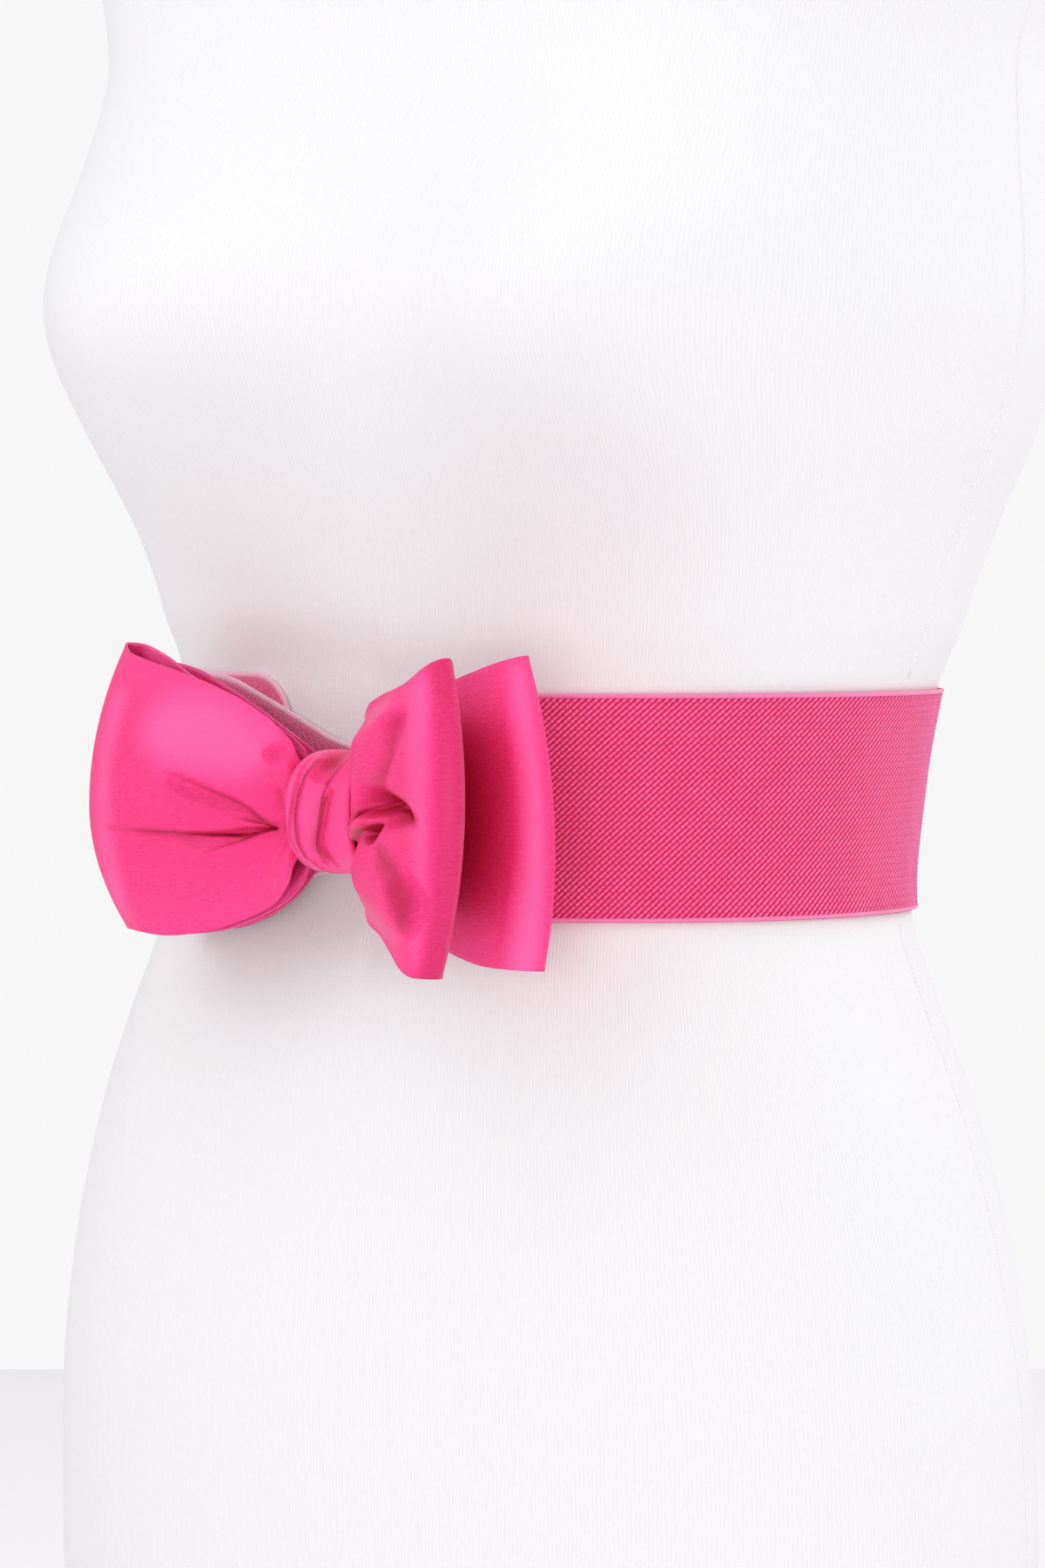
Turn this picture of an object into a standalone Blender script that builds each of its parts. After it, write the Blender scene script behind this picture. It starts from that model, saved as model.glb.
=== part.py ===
"""A ribbon belt with a double satin bow, fastened round a limbless dress form.

Run with: blender --background --python part.py

The front of the form faces -Y and its own left side is +X.  The origin is the
middle of the form's flat base.  Sizes below are millimetres, and each mesh is
written in metres.
"""

import math

import bpy

MM = 0.001

# ---------------------------------------------------------------- driving sizes
GAP = 0.3                  # clearance between pieces that touch

BELT_MIDDLE = 292.7        # height of the middle of the belt
BELT_WIDTH = 60.0
BELT_RISE = 4.8            # the wearer's right end of the belt sits this much higher
RISE_START = 180.0         # degrees round the form where that rise begins
RISE_RUN = 140.0           # degrees that it takes
ELASTIC_WALL = 1.6
TAB_WALL = 1.3
FORM_PRESS = 2.2           # how deep the elastic presses into the padded form
PRESS_FADE = 9.0           # height over which that groove fades out

KNOT_MIDDLE = 291.7
KNOT_CENTRE = 0.8          # X of its middle
KNOT_WIDTH = 20.0
KNOT_HALF_HEIGHT = 16.2
KNOT_FRONT = -121.5        # Y of its foremost point
KNOT_WALL = 1.4
KNOT_POWER = 2.5           # squareness of the ring's outline
KNOT_DRAWN_IN = 1.0        # how much its front dips at both ends
SATIN_WALL = 1.1

# ------------------------------------------------------------------ the form
# One row for each level of the form, with even halves left and right.
# Columns: height, half width, half depth, how far back the middle lies, and the
# power of the superellipse (2 is an ellipse, more is squarer).
FORM_LEVELS = (
    (0.0,   141.0,  97.5,  -1.0, 2.3),
    (40.0,  143.0,  98.5,  -1.0, 2.3),
    (80.0,  143.5,  98.0,  -1.8, 2.3),
    (125.0, 142.5,  98.0,  -3.0, 2.3),
    (166.0, 137.0,  96.0,  -4.7, 2.3),
    (205.0, 127.5,  91.5,  -5.8, 2.3),
    (232.0, 117.7,  88.7,  -6.5, 2.25),
    (254.0, 110.3,  86.0,  -5.3, 2.2),
    (275.0, 107.8,  84.5,  -2.0, 2.2),
    (298.0, 108.0,  86.0,   2.5, 2.2),
    (322.0, 110.0,  89.5,   6.5, 2.2),
    (345.0, 114.6,  92.3,  10.0, 2.25),
    (368.0, 121.0,  96.5,  13.4, 2.3),
    (396.0, 131.2, 102.0,  16.0, 2.35),
    (430.0, 139.0, 106.0,  15.5, 2.4),
    (470.0, 136.5, 100.5,  16.5, 2.4),
    (492.0, 135.5,  98.0,  17.5, 2.4),
    (510.0, 139.5,  97.0,  18.5, 2.4),
    (540.0, 152.0,  89.0,  21.0, 2.4),
    (566.0, 158.5,  78.5,  23.0, 2.35),
    (587.0, 149.0,  68.0,  24.5, 2.3),
    (603.0, 121.0,  60.0,  25.5, 2.2),
    (617.0,  87.0,  56.0,  26.0, 2.1),
    (633.0,  62.0,  54.5,  26.0, 2.0),
    (655.0,  53.5,  53.5,  25.0, 2.0),
    (700.0,  52.0,  52.5,  22.0, 2.0),
    (735.0,  53.5,  53.5,  20.0, 2.0),
)
FORM_AROUND = 52
# Heights of the rings below and above the belt, where further rings follow it.
FORM_RINGS_BELOW = (0.0, 40.0, 85.0, 125.0, 158.0, 188.0, 212.0, 233.0, 252.0)
FORM_RINGS_ABOVE = (333.0, 346.0, 361.0, 376.0, 391.0, 406.0, 421.0, 436.0, 452.0,
                    470.0, 490.0, 512.0, 533.0, 551.0, 566.0, 578.0, 589.0, 598.0,
                    607.0, 617.0, 633.0, 655.0, 695.0, 735.0)
FORM_FOLLOW = 55.0         # beyond the belt, rings level out over this height

BUST_SIDE = 76.0           # each apex from the centre line
BUST_HEIGHT = 424.0
BUST_FULLNESS = 37.0       # how far it stands out from the chest
BUST_HALF_WIDTH = 43.0
BUST_RISE = 38.0           # soft slope above the apex
BUST_DROP = 35.0           # rounder slope below it
BUST_SPREAD = 2.2          # how soon it fades towards the side

# --------------------------------------------------------------- belt and tabs
BAND_AROUND = 60
BAND_ACROSS = 5
BAND_START = 38.0          # X of the seam on the wearer's left, behind the bow
BAND_END = -88.0           # X of the seam on the wearer's right

UNDER_TAB_END = -32.0      # X of its rounded end
TAB_CORNER = 12.0
CORNER_STEPS = 6
UNDER_TAB_STEPS = 8
OVER_TAB_STEPS = 34
LAP_START = 16.0           # X where the over tab begins to lift off the form
LAP_RUN = 30.0             # length over which it rises to the under tab's face

# The tab that the bow is sewn on.  Columns: X at the front of the form, half
# height there, and height of its middle.
OVER_TAB_SHAPE = (
    (37.7,  30.0, 292.7),
    (32.0,  28.4, 292.7),
    (24.0,  23.0, 292.5),
    (14.0,  17.4, 292.0),
    (5.0,   15.6, 291.9),
    (-5.0,  15.8, 292.0),
    (-14.0, 17.6, 292.3),
    (-24.0, 21.2, 293.3),
    (-38.0, 26.0, 294.8),
    (-52.0, 29.6, 296.4),
    (-58.0, 30.0, 297.2),
    (-66.0, 30.0, 297.4),
    (-71.0, 28.8, 297.4),
    (-75.0, 25.6, 297.4),
    (-78.0, 19.5, 297.4),
)

# --------------------------------------------------------------------- the bow
# One row for each loop of ribbon.  side is -1 on the wearer's right and +1 on
# the left; root_y is the middle of its gathered end inside the knot, and
# root_gap half the distance there between its two plies.  The loop runs
# straight out of the knot, turns forwards by swing degrees on an arc turn_run
# long and reaches its far fold at the distance reach.  The fold bulges by
# tip_bow at mid height, reaches tip_lean further at its top, and its corners
# stand forwards by curl.  Next is how far each ply stands off the middle line,
# and how much lower the back ply's upper edge runs.
LOOP_COLUMNS = ("name", "side", "root_y", "root_gap", "swing", "turn_run", "reach",
                "tip_bow", "tip_lean", "curl", "front_fullness", "back_fullness",
                "back_drop")
LOOPS = (
    ("bow_front_loop_right", -1, -111.6, 3.2, -5.3, 16.0, 78.1, 13.2, 0.0, 0.0,
     6.0, 4.5, 2.0),
    ("bow_back_loop_right", -1, -99.3, 2.9, -16.0, 16.0, 77.0, 10.0, 0.0, 0.0,
     4.0, 3.0, 0.0),
    ("bow_front_loop_left", 1, -111.6, 3.2, 36.0, 10.0, 78.0, 13.0, 3.5, 3.0,
     9.0, 3.0, 1.0),
    ("bow_back_loop_left", 1, -99.3, 2.9, 14.0, 16.0, 72.5, 6.5, -3.0, 0.0,
     6.5, 3.0, 0.0),
)
LOOP_ROOT = 0.8            # X at which a gathered end stops, inside the knot
LOOP_MOUTH = 9.0           # length that runs straight through the knot
LOOP_OPENING = 35.0        # length over which the plies part beyond the knot
ROOT_CURVE = 2.6           # how far a gathered ply's edges stand back
EDGE_FLATTEN = 0.3         # share of the fullness that a ply loses at its edges
LOOP_ALONG = 34
LOOP_ACROSS = 12
CROWDING = 0.45            # share by which rows of points crowd to the knot

# How high a loop's edges stand.  Columns: part of the way from knot to tip, and
# the heights of the upper and of the lower edge over the knot's middle.
LOOP_EDGES = {
    "bow_front_loop_right": ((0.00, 8.2, -8.2), (0.105, 9.2, -9.6),
                             (0.15, 19.5, -20.0), (0.21, 24.5, -25.2),
                             (0.31, 30.0, -29.5), (0.47, 35.0, -32.6),
                             (0.70, 40.0, -33.8), (1.00, 44.0, -32.4)),
    "bow_back_loop_right":  ((0.00, 11.8, -11.8), (0.14, 12.5, -12.5),
                             (0.18, 15.5, -17.5), (0.27, 20.0, -24.0),
                             (0.45, 27.0, -30.0), (0.70, 34.5, -33.4),
                             (0.90, 39.8, -33.4), (1.00, 41.5, -33.0)),
    "bow_front_loop_left":  ((0.00, 8.2, -8.2), (0.13, 9.2, -9.0),
                             (0.18, 16.5, -15.5), (0.28, 23.5, -21.0),
                             (0.45, 28.5, -26.5), (0.62, 33.0, -32.0),
                             (0.80, 38.0, -38.0), (1.00, 41.0, -40.0)),
    "bow_back_loop_left":   ((0.00, 11.8, -11.8), (0.15, 12.5, -12.5),
                             (0.19, 15.5, -15.5), (0.32, 22.5, -24.0),
                             (0.50, 31.0, -33.0), (0.64, 34.8, -36.8),
                             (0.80, 37.8, -38.9), (1.00, 41.3, -39.5)),
}

# The largest folds.  Each is a soft trough (depth below 0) or ridge that runs
# in a straight line on one ply.  Columns: loop, ply (+1 front, -1 back), the
# distance from the knot and the height over its middle at both ends, half
# width and depth.
FOLD_COLUMNS = ("loop", "ply", "from_out", "from_up", "to_out", "to_up",
                "half_width", "depth")
FOLDS = (
    ("bow_front_loop_right", 1, 10.0, -4.0, 66.0,  -6.5, 5.0, -3.6),
    ("bow_front_loop_right", 1, 11.0, -2.0, 42.0,  10.0, 5.0, -2.4),
    ("bow_front_loop_right", 1, 11.0,  1.5, 52.0,   2.5, 5.0,  2.0),
    ("bow_front_loop_right", 1, 12.0, -8.0, 48.0, -15.0, 6.0,  2.0),
    ("bow_front_loop_right", -1, 14.0, 3.0, 52.0,   9.0, 6.0,  1.4),
    ("bow_back_loop_right", -1, 16.0, -2.0, 56.0,  -8.0, 6.0,  1.2),
    ("bow_back_loop_right", 1, 16.0,  4.0, 46.0,  15.0,  6.0, -1.4),
    ("bow_front_loop_left", 1, 14.0, 13.0, 36.0,  24.0,  9.0,  4.6),
    ("bow_front_loop_left", 1, 15.0, -13.0, 34.0, -17.0, 8.0,  4.6),
    ("bow_front_loop_left", 1, 11.0, -3.6, 40.0,  24.0,  3.6,  2.4),
    ("bow_front_loop_left", 1, 15.0, -4.0, 38.0,   3.0,  5.5, -5.0),
    ("bow_front_loop_left", -1, 16.0, 0.0, 46.0,   8.0,  6.0,  1.6),
    ("bow_front_loop_left", -1, 16.0, -6.0, 46.0, -20.0, 6.0,  1.4),
    ("bow_back_loop_left", 1,  18.0, -2.0, 50.0,  -6.0,  6.0, -2.0),
    ("bow_back_loop_left", -1, 18.0,  2.0, 52.0,  10.0,  6.0,  2.0),
    ("bow_back_loop_left", -1, 18.0, -5.0, 46.0, -18.0,  6.0,  1.8),
)

# Pleats gathered at the knot, on every ply.
PLEAT_HEIGHT = 0.8
PLEATS_ACROSS = 2.5
PLEAT_REACH = 26.0
TIP_CALM = 0.35            # share of the loop's end that stays free of folds

# Pleats round the knot.  Columns: place along the knot from its middle, half
# width and depth.
KNOT_PLEATS = ((-6.2, 1.7, -1.0), (-1.0, 1.9, -1.5), (4.4, 1.8, -1.3),
               (8.0, 1.4, -0.7))
KNOT_AROUND = 28
KNOT_ALONG = 12
KNOT_SEAT = 0.6            # its curved back stands this far off the tab's middle
KNOT_WRAP = 0.4            # how far round its sides the pleats reach

# Name: (base colour, roughness)
FINISHES = {
    "form_cover": ((0.88, 0.86, 0.87), 0.85),
    "elastic":    ((0.82, 0.12, 0.30), 0.70),
    "tab_web":    ((0.80, 0.14, 0.32), 0.65),
    "satin":      ((0.95, 0.07, 0.26), 0.42),
}


# ----------------------------------------------------------------- small maths
def smooth_step(value):
    """Ease from 0 to 1 as value goes from 0 to 1."""
    value = min(max(value, 0.0), 1.0)
    return value * value * (3.0 - 2.0 * value)


def read_table(rows, key):
    """Read the columns after the first at key, along a smooth curve."""
    keys = [row[0] for row in rows]
    if keys[0] > keys[-1]:
        rows = rows[::-1]
        keys = keys[::-1]
    key = min(max(key, keys[0]), keys[-1])
    index = 0
    while index < len(keys) - 2 and key > keys[index + 1]:
        index += 1
    span = keys[index + 1] - keys[index]
    part = (key - keys[index]) / span
    values = []
    for column in range(1, len(rows[0])):
        here = rows[index][column]
        there = rows[index + 1][column]
        slope_here = table_slope(rows, keys, index, column) * span
        slope_there = table_slope(rows, keys, index + 1, column) * span
        square, cube = part * part, part ** 3
        values.append((2 * cube - 3 * square + 1) * here
                      + (cube - 2 * square + part) * slope_here
                      + (3 * square - 2 * cube) * there
                      + (cube - square) * slope_there)
    return values


def table_slope(rows, keys, index, column):
    """Slope of a column at a row, flat at its peaks so that nothing overshoots."""
    if index in (0, len(rows) - 1):
        other = 1 if index == 0 else index - 1
        return (rows[index][column] - rows[other][column]) / (keys[index] - keys[other])
    before = ((rows[index][column] - rows[index - 1][column])
              / (keys[index] - keys[index - 1]))
    after = ((rows[index + 1][column] - rows[index][column])
             / (keys[index + 1] - keys[index]))
    if before * after <= 0.0:
        return 0.0
    return 2.0 * before * after / (before + after)


def across(first, second):
    """Cross product of two vectors."""
    return (first[1] * second[2] - first[2] * second[1],
            first[2] * second[0] - first[0] * second[2],
            first[0] * second[1] - first[1] * second[0])


def unit(vector):
    """The vector at length 1."""
    length = math.sqrt(sum(value * value for value in vector)) or 1.0
    return tuple(value / length for value in vector)


# -------------------------------------------------------------- mesh building
def make_object(name, vertices, faces, finish):
    """Make a smooth mesh object from points in millimetres."""
    mesh = bpy.data.meshes.new(name)
    mesh.from_pydata([tuple(value * MM for value in point) for point in vertices],
                     [], faces)
    mesh.shade_smooth()
    mesh.set_sharp_from_angle(angle=math.radians(42.0))
    mesh.materials.append(bpy.data.materials[finish])
    item = bpy.data.objects.new(name, mesh)
    bpy.context.collection.objects.link(item)
    return item


def grid_normals(grid, around):
    """A unit normal at each point of a grid of points, rows by columns."""
    rows, columns = len(grid), len(grid[0])
    normals = []
    for row in range(rows):
        line = []
        for column in range(columns):
            if around:
                ahead = grid[(row + 1) % rows][column]
                behind = grid[(row - 1) % rows][column]
            else:
                ahead = grid[min(row + 1, rows - 1)][column]
                behind = grid[max(row - 1, 0)][column]
            above = grid[row][min(column + 1, columns - 1)]
            below = grid[row][max(column - 1, 0)]
            along = tuple(a - b for a, b in zip(ahead, behind))
            upward = tuple(a - b for a, b in zip(above, below))
            line.append(unit(across(along, upward)))
        normals.append(line)
    return normals


def wall_from_grids(name, outer, inner, finish, around=False):
    """Close two matching grids of points into one wall.

    The outer grid's rows run so that (next row) x (next column) points out.
    """
    rows, columns = len(outer), len(outer[0])
    vertices = [point for line in outer for point in line]
    vertices += [point for line in inner for point in line]
    shift = rows * columns

    def at(row, column):
        return (row % rows) * columns + column

    faces = []
    last_row = rows if around else rows - 1
    for row in range(last_row):
        for column in range(columns - 1):
            quad = (at(row, column), at(row + 1, column),
                    at(row + 1, column + 1), at(row, column + 1))
            faces.append(quad)
            faces.append(tuple(shift + corner for corner in reversed(quad)))
        for column, turned in ((0, False), (columns - 1, True)):
            rim = (at(row, column), shift + at(row, column),
                   shift + at(row + 1, column), at(row + 1, column))
            faces.append(tuple(reversed(rim)) if turned else rim)
    if not around:
        for row, turned in ((0, True), (rows - 1, False)):
            for column in range(columns - 1):
                rim = (at(row, column), shift + at(row, column),
                       shift + at(row, column + 1), at(row, column + 1))
                faces.append(tuple(reversed(rim)) if turned else rim)
    return make_object(name, vertices, faces, finish)


def thick_wall(name, grid, wall, finish, around=False):
    """Give a grid of middle points an even wall."""
    normals = grid_normals(grid, around)
    outer = []
    inner = []
    for line, directions in zip(grid, normals):
        outer.append([tuple(p + d * wall / 2 for p, d in zip(point, way))
                      for point, way in zip(line, directions)])
        inner.append([tuple(p - d * wall / 2 for p, d in zip(point, way))
                      for point, way in zip(line, directions)])
    return wall_from_grids(name, outer, inner, finish, around)


# --------------------------------------------------------------- the form
def form_outline(height, angle):
    """The form's natural surface, angle 0 at the front and 90 on its left."""
    half_width, half_depth, back, power = read_table(FORM_LEVELS, height)
    side = math.sin(angle)
    front = math.cos(angle)
    radius = (abs(side / half_width) ** power
              + abs(front / half_depth) ** power) ** (-1.0 / power)
    x = radius * side
    y = back - radius * front
    if front > 0.0:
        slope = BUST_RISE if height > BUST_HEIGHT else BUST_DROP
        vertical = math.exp(-0.5 * ((height - BUST_HEIGHT) / slope) ** 2)
        for apex in (-BUST_SIDE, BUST_SIDE):
            sideways = math.exp(-0.5 * ((x - apex) / BUST_HALF_WIDTH) ** 2)
            y -= BUST_FULLNESS * vertical * sideways * smooth_step(front * BUST_SPREAD)
    return x, y


def form_surface(height, angle, out=0.0):
    """A point on the natural surface, moved out level by the given distance."""
    step = math.radians(0.5)
    x, y = form_outline(height, angle)
    if out == 0.0:
        return x, y, height
    x_next, y_next = form_outline(height, angle + step)
    x_last, y_last = form_outline(height, angle - step)
    run = math.hypot(x_next - x_last, y_next - y_last)
    return (x + out * (y_next - y_last) / run,
            y - out * (x_next - x_last) / run,
            height)


def belt_middle(angle):
    """Height of the belt's middle, which rises towards the wearer's right front."""
    turn = math.degrees(angle) % 360.0
    return BELT_MIDDLE + BELT_RISE * smooth_step((turn - RISE_START) / RISE_RUN)


def press_depth(height, angle):
    """How far the elastic pushes the form's cover in at a height."""
    beyond = abs(height - belt_middle(angle)) - BELT_WIDTH / 2
    return FORM_PRESS * (1.0 - smooth_step(beyond / PRESS_FADE))


def belt_levels():
    """Heights of the belt's rows of points, at its lowest stretch."""
    return [BELT_MIDDLE + BELT_WIDTH * (line / BAND_ACROSS - 0.5)
            for line in range(BAND_ACROSS + 1)]


def make_form():
    """The dress form: one padded body, flat at the base and at the neck."""
    rings = (*FORM_RINGS_BELOW, *belt_levels(), *FORM_RINGS_ABOVE)
    vertices = []
    for level in rings:
        beyond = abs(level - BELT_MIDDLE) - BELT_WIDTH / 2 - PRESS_FADE
        follow = 1.0 - smooth_step(beyond / FORM_FOLLOW)
        for step in range(FORM_AROUND):
            angle = 2.0 * math.pi * step / FORM_AROUND
            height = level + follow * (belt_middle(angle) - BELT_MIDDLE)
            out = -press_depth(height, angle)
            vertices.append(form_surface(height, angle, out))
    faces = []
    for ring in range(len(rings) - 1):
        for step in range(FORM_AROUND):
            here = ring * FORM_AROUND + step
            beside = ring * FORM_AROUND + (step + 1) % FORM_AROUND
            faces.append((here, beside, beside + FORM_AROUND, here + FORM_AROUND))
    top = (len(rings) - 1) * FORM_AROUND
    faces.append(tuple(range(FORM_AROUND))[::-1])
    faces.append(tuple(range(top, top + FORM_AROUND)))
    return make_object("dress_form", vertices, faces, "form_cover")


# --------------------------------------------------------------- belt and tabs
def angle_at_front(x, height):
    """Angle at which the front of the form reaches a given X."""
    low, high = -math.pi / 2, math.pi / 2
    for _ in range(40):
        middle = (low + high) / 2
        if form_outline(height, middle)[0] < x:
            low = middle
        else:
            high = middle
    return (low + high) / 2


def belt_line(angle, middle, half, layer):
    """A line of points up the belt, layer millimetres out from the pressed cover."""
    return [form_surface(middle + half * (2.0 * line / BAND_ACROSS - 1.0), angle,
                         layer - FORM_PRESS)
            for line in range(BAND_ACROSS + 1)]


def make_band():
    """The elastic, round the back from seam to seam, open at the front."""
    start = angle_at_front(BAND_START, BELT_MIDDLE)
    end = angle_at_front(BAND_END, BELT_MIDDLE) + 2.0 * math.pi
    inner = []
    outer = []
    for step in range(BAND_AROUND + 1):
        angle = start + (end - start) * step / BAND_AROUND
        middle = belt_middle(angle)
        inner.append(belt_line(angle, middle, BELT_WIDTH / 2, GAP))
        outer.append(belt_line(angle, middle, BELT_WIDTH / 2, GAP + ELASTIC_WALL))
    return wall_from_grids("elastic_band", outer, inner, "elastic")


def corner_height(distance):
    """Half height lost at a rounded corner, distance in from the end."""
    if distance >= TAB_CORNER:
        return 0.0
    return TAB_CORNER - math.sqrt(TAB_CORNER ** 2 - (TAB_CORNER - distance) ** 2)


def make_under_tab():
    """The bound end on the wearer's right, flat on the form."""
    places = [UNDER_TAB_END - TAB_CORNER * (1.0 - math.cos(math.pi / 2 * step
                                                           / CORNER_STEPS))
              for step in range(CORNER_STEPS + 1)]
    first = places[-1]
    last = BAND_END + GAP
    places += [first + (last - first) * step / UNDER_TAB_STEPS
               for step in range(1, UNDER_TAB_STEPS + 1)]
    inner = []
    outer = []
    for x in reversed(places):
        angle = angle_at_front(x, BELT_MIDDLE)
        half = BELT_WIDTH / 2 - corner_height(UNDER_TAB_END - x)
        middle = belt_middle(angle)
        inner.append(belt_line(angle, middle, half, GAP))
        outer.append(belt_line(angle, middle, half, GAP + TAB_WALL))
    return wall_from_grids("under_tab", outer, inner, "tab_web")


def over_tab_layer(x):
    """How far out the over tab lies: on the form, then over the under tab."""
    on_tab = GAP + TAB_WALL + GAP
    return GAP + (on_tab - GAP) * smooth_step((LAP_START - x) / LAP_RUN)


def make_over_tab():
    """The tab that is gathered behind the knot and laps over the under tab."""
    first, last = OVER_TAB_SHAPE[0][0], OVER_TAB_SHAPE[-1][0]
    inner = []
    outer = []
    for step in range(OVER_TAB_STEPS, -1, -1):
        x = first + (last - first) * step / OVER_TAB_STEPS
        half, middle = read_table(OVER_TAB_SHAPE, x)
        angle = angle_at_front(x, BELT_MIDDLE)
        layer = over_tab_layer(x)
        inner.append(belt_line(angle, middle, half, layer))
        outer.append(belt_line(angle, middle, half, layer + TAB_WALL))
    return wall_from_grids("over_tab", outer, inner, "tab_web")


# --------------------------------------------------------------------- the bow
def fold_offset(name, ply, out, up):
    """How far the folds move a ply forwards at a place on it."""
    total = 0.0
    for row in FOLDS:
        fold = dict(zip(FOLD_COLUMNS, row))
        if fold["loop"] != name or fold["ply"] != ply:
            continue
        run = fold["to_out"] - fold["from_out"]
        rise = fold["to_up"] - fold["from_up"]
        length = math.hypot(run, rise)
        along = ((out - fold["from_out"]) * run + (up - fold["from_up"]) * rise) / length
        aside = ((out - fold["from_out"]) * rise - (up - fold["from_up"]) * run) / length
        part = along / length
        ends = smooth_step(part / 0.25 + 0.4) * smooth_step((1.0 - part) / 0.55)
        total += (fold["depth"] * ends
                  * math.exp(-0.5 * (aside / fold["half_width"]) ** 2))
    return total


def loop_axis(loop, out):
    """Point and forward direction of a loop's middle line at a distance out."""
    swing = math.radians(loop["swing"])
    radius = loop["turn_run"] / swing
    turned = swing * min(max(out - LOOP_MOUTH, 0.0) / loop["turn_run"], 1.0)
    beyond = max(out - LOOP_MOUTH - loop["turn_run"], 0.0)
    sideways = (LOOP_ROOT + min(out, LOOP_MOUTH) + radius * math.sin(turned)
                + beyond * math.cos(turned))
    forwards = radius * (1.0 - math.cos(turned)) + beyond * math.sin(turned)
    return ((loop["side"] * sideways, loop["root_y"] - forwards),
            (-loop["side"] * math.sin(turned), -math.cos(turned)))


def loop_point(loop, turn, across_part):
    """A point on a loop: turn 0 to pi along the ribbon, -1 to 1 across it."""
    name = loop["name"]
    upper_tip, lower_tip = LOOP_EDGES[name][-1][1:]
    part = math.sin(turn)
    upper, lower = read_table(LOOP_EDGES[name], part)
    upper -= loop["back_drop"] * smooth_step(2.0 * math.cos(turn))
    up = (upper + lower) / 2 + (upper - lower) / 2 * across_part
    tip_part = up / (upper_tip if up > 0.0 else -lower_tip)
    drawn_in = loop["tip_bow"] * tip_part * tip_part - loop["tip_lean"] * tip_part
    out = part * (loop["reach"] - smooth_step(part) * drawn_in)
    (x, y), (ahead_x, ahead_y) = loop_axis(loop, out)
    ply = -1 if turn < math.pi / 2 else 1
    opened = smooth_step((out - LOOP_MOUTH / 2) / LOOP_OPENING)
    fullness = loop["back_fullness"] if ply < 0 else loop["front_fullness"]
    forward = -(loop["root_gap"] * math.cos(turn)
                + opened * fullness * math.sin(2.0 * turn)
                * (1.0 - EDGE_FLATTEN * across_part ** 2))
    forward += loop["curl"] * tip_part * tip_part * smooth_step(part)
    off_tip = smooth_step(abs(math.cos(turn)) / TIP_CALM)
    forward += fold_offset(name, ply, out, up) * off_tip
    gathered = 1.0 - smooth_step((out - LOOP_MOUTH / 2) / PLEAT_REACH)
    forward -= ROOT_CURVE * gathered * across_part ** 2
    forward += (ply * PLEAT_HEIGHT * gathered * off_tip
                * math.cos(math.pi * PLEATS_ACROSS * across_part))
    return x + ahead_x * forward, y + ahead_y * forward, KNOT_MIDDLE + up


def make_loop(loop):
    """One loop of satin ribbon, open above and below, gathered at the knot."""
    grid = []
    for step in range(LOOP_ALONG + 1):
        even = step / LOOP_ALONG
        turn = math.pi * even - CROWDING / 2 * math.sin(2.0 * math.pi * even)
        line = [loop_point(loop, turn, 2.0 * place / LOOP_ACROSS - 1.0)
                for place in range(LOOP_ACROSS + 1)]
        grid.append(line)
    if loop["side"] < 0:
        grid.reverse()
    return thick_wall(loop["name"], grid, SATIN_WALL, "satin")


def make_knot():
    """The short ribbon wrapped round the gathered middle of the bow."""
    tab_front = form_surface(KNOT_MIDDLE, 0.0,
                             over_tab_layer(0.0) + TAB_WALL - FORM_PRESS)[1]
    back = tab_front - GAP - KNOT_SEAT
    middle_y = (back + KNOT_FRONT) / 2
    half_depth = (back - KNOT_FRONT) / 2 - KNOT_WALL / 2
    half_height = KNOT_HALF_HEIGHT - KNOT_WALL / 2
    grid = []
    for step in range(KNOT_AROUND):
        angle = 2.0 * math.pi * step / KNOT_AROUND
        up, front = math.sin(angle), math.cos(angle)
        outline = (abs(up / half_height) ** KNOT_POWER
                   + abs(front / half_depth) ** KNOT_POWER) ** (-1.0 / KNOT_POWER)
        shown = smooth_step(KNOT_WRAP + front)
        line = []
        for place in range(KNOT_ALONG, -1, -1):
            along = KNOT_WIDTH * (place / KNOT_ALONG - 0.5)
            pleats = sum(depth * math.exp(-0.5 * ((along - at) / half_width) ** 2)
                         for at, half_width, depth in KNOT_PLEATS)
            drawn_in = KNOT_DRAWN_IN * (2.0 * along / KNOT_WIDTH) ** 4
            radius = outline + shown * (pleats - drawn_in)
            line.append((KNOT_CENTRE + along, middle_y - radius * front,
                         KNOT_MIDDLE + radius * up))
        grid.append(line)
    return thick_wall("bow_knot", grid, KNOT_WALL, "satin", around=True)


# ------------------------------------------------------------------------ main
def clear_scene():
    """Remove what the scene already holds."""
    for item in list(bpy.data.objects):
        bpy.data.objects.remove(item, do_unlink=True)


def make_materials():
    """One Principled material for each finish."""
    for name, (colour, roughness) in FINISHES.items():
        material = bpy.data.materials.new(name)
        material.use_nodes = True
        shader = material.node_tree.nodes["Principled BSDF"]
        shader.inputs["Base Color"].default_value = (*colour, 1.0)
        shader.inputs["Roughness"].default_value = roughness
        shader.inputs["Metallic"].default_value = 0.0


def main():
    """Build the form, the belt and the bow."""
    clear_scene()
    make_materials()
    make_form()
    make_band()
    make_under_tab()
    make_over_tab()
    for row in LOOPS:
        make_loop(dict(zip(LOOP_COLUMNS, row)))
    make_knot()


main()
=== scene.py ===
"""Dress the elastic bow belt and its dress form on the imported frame.

Sizes are millimetres unless a comment says otherwise, and meshes are written in
metres.  The form faces -Y, its own left side is +X, and the origin is the
middle of its flat base.
"""

import math

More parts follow.
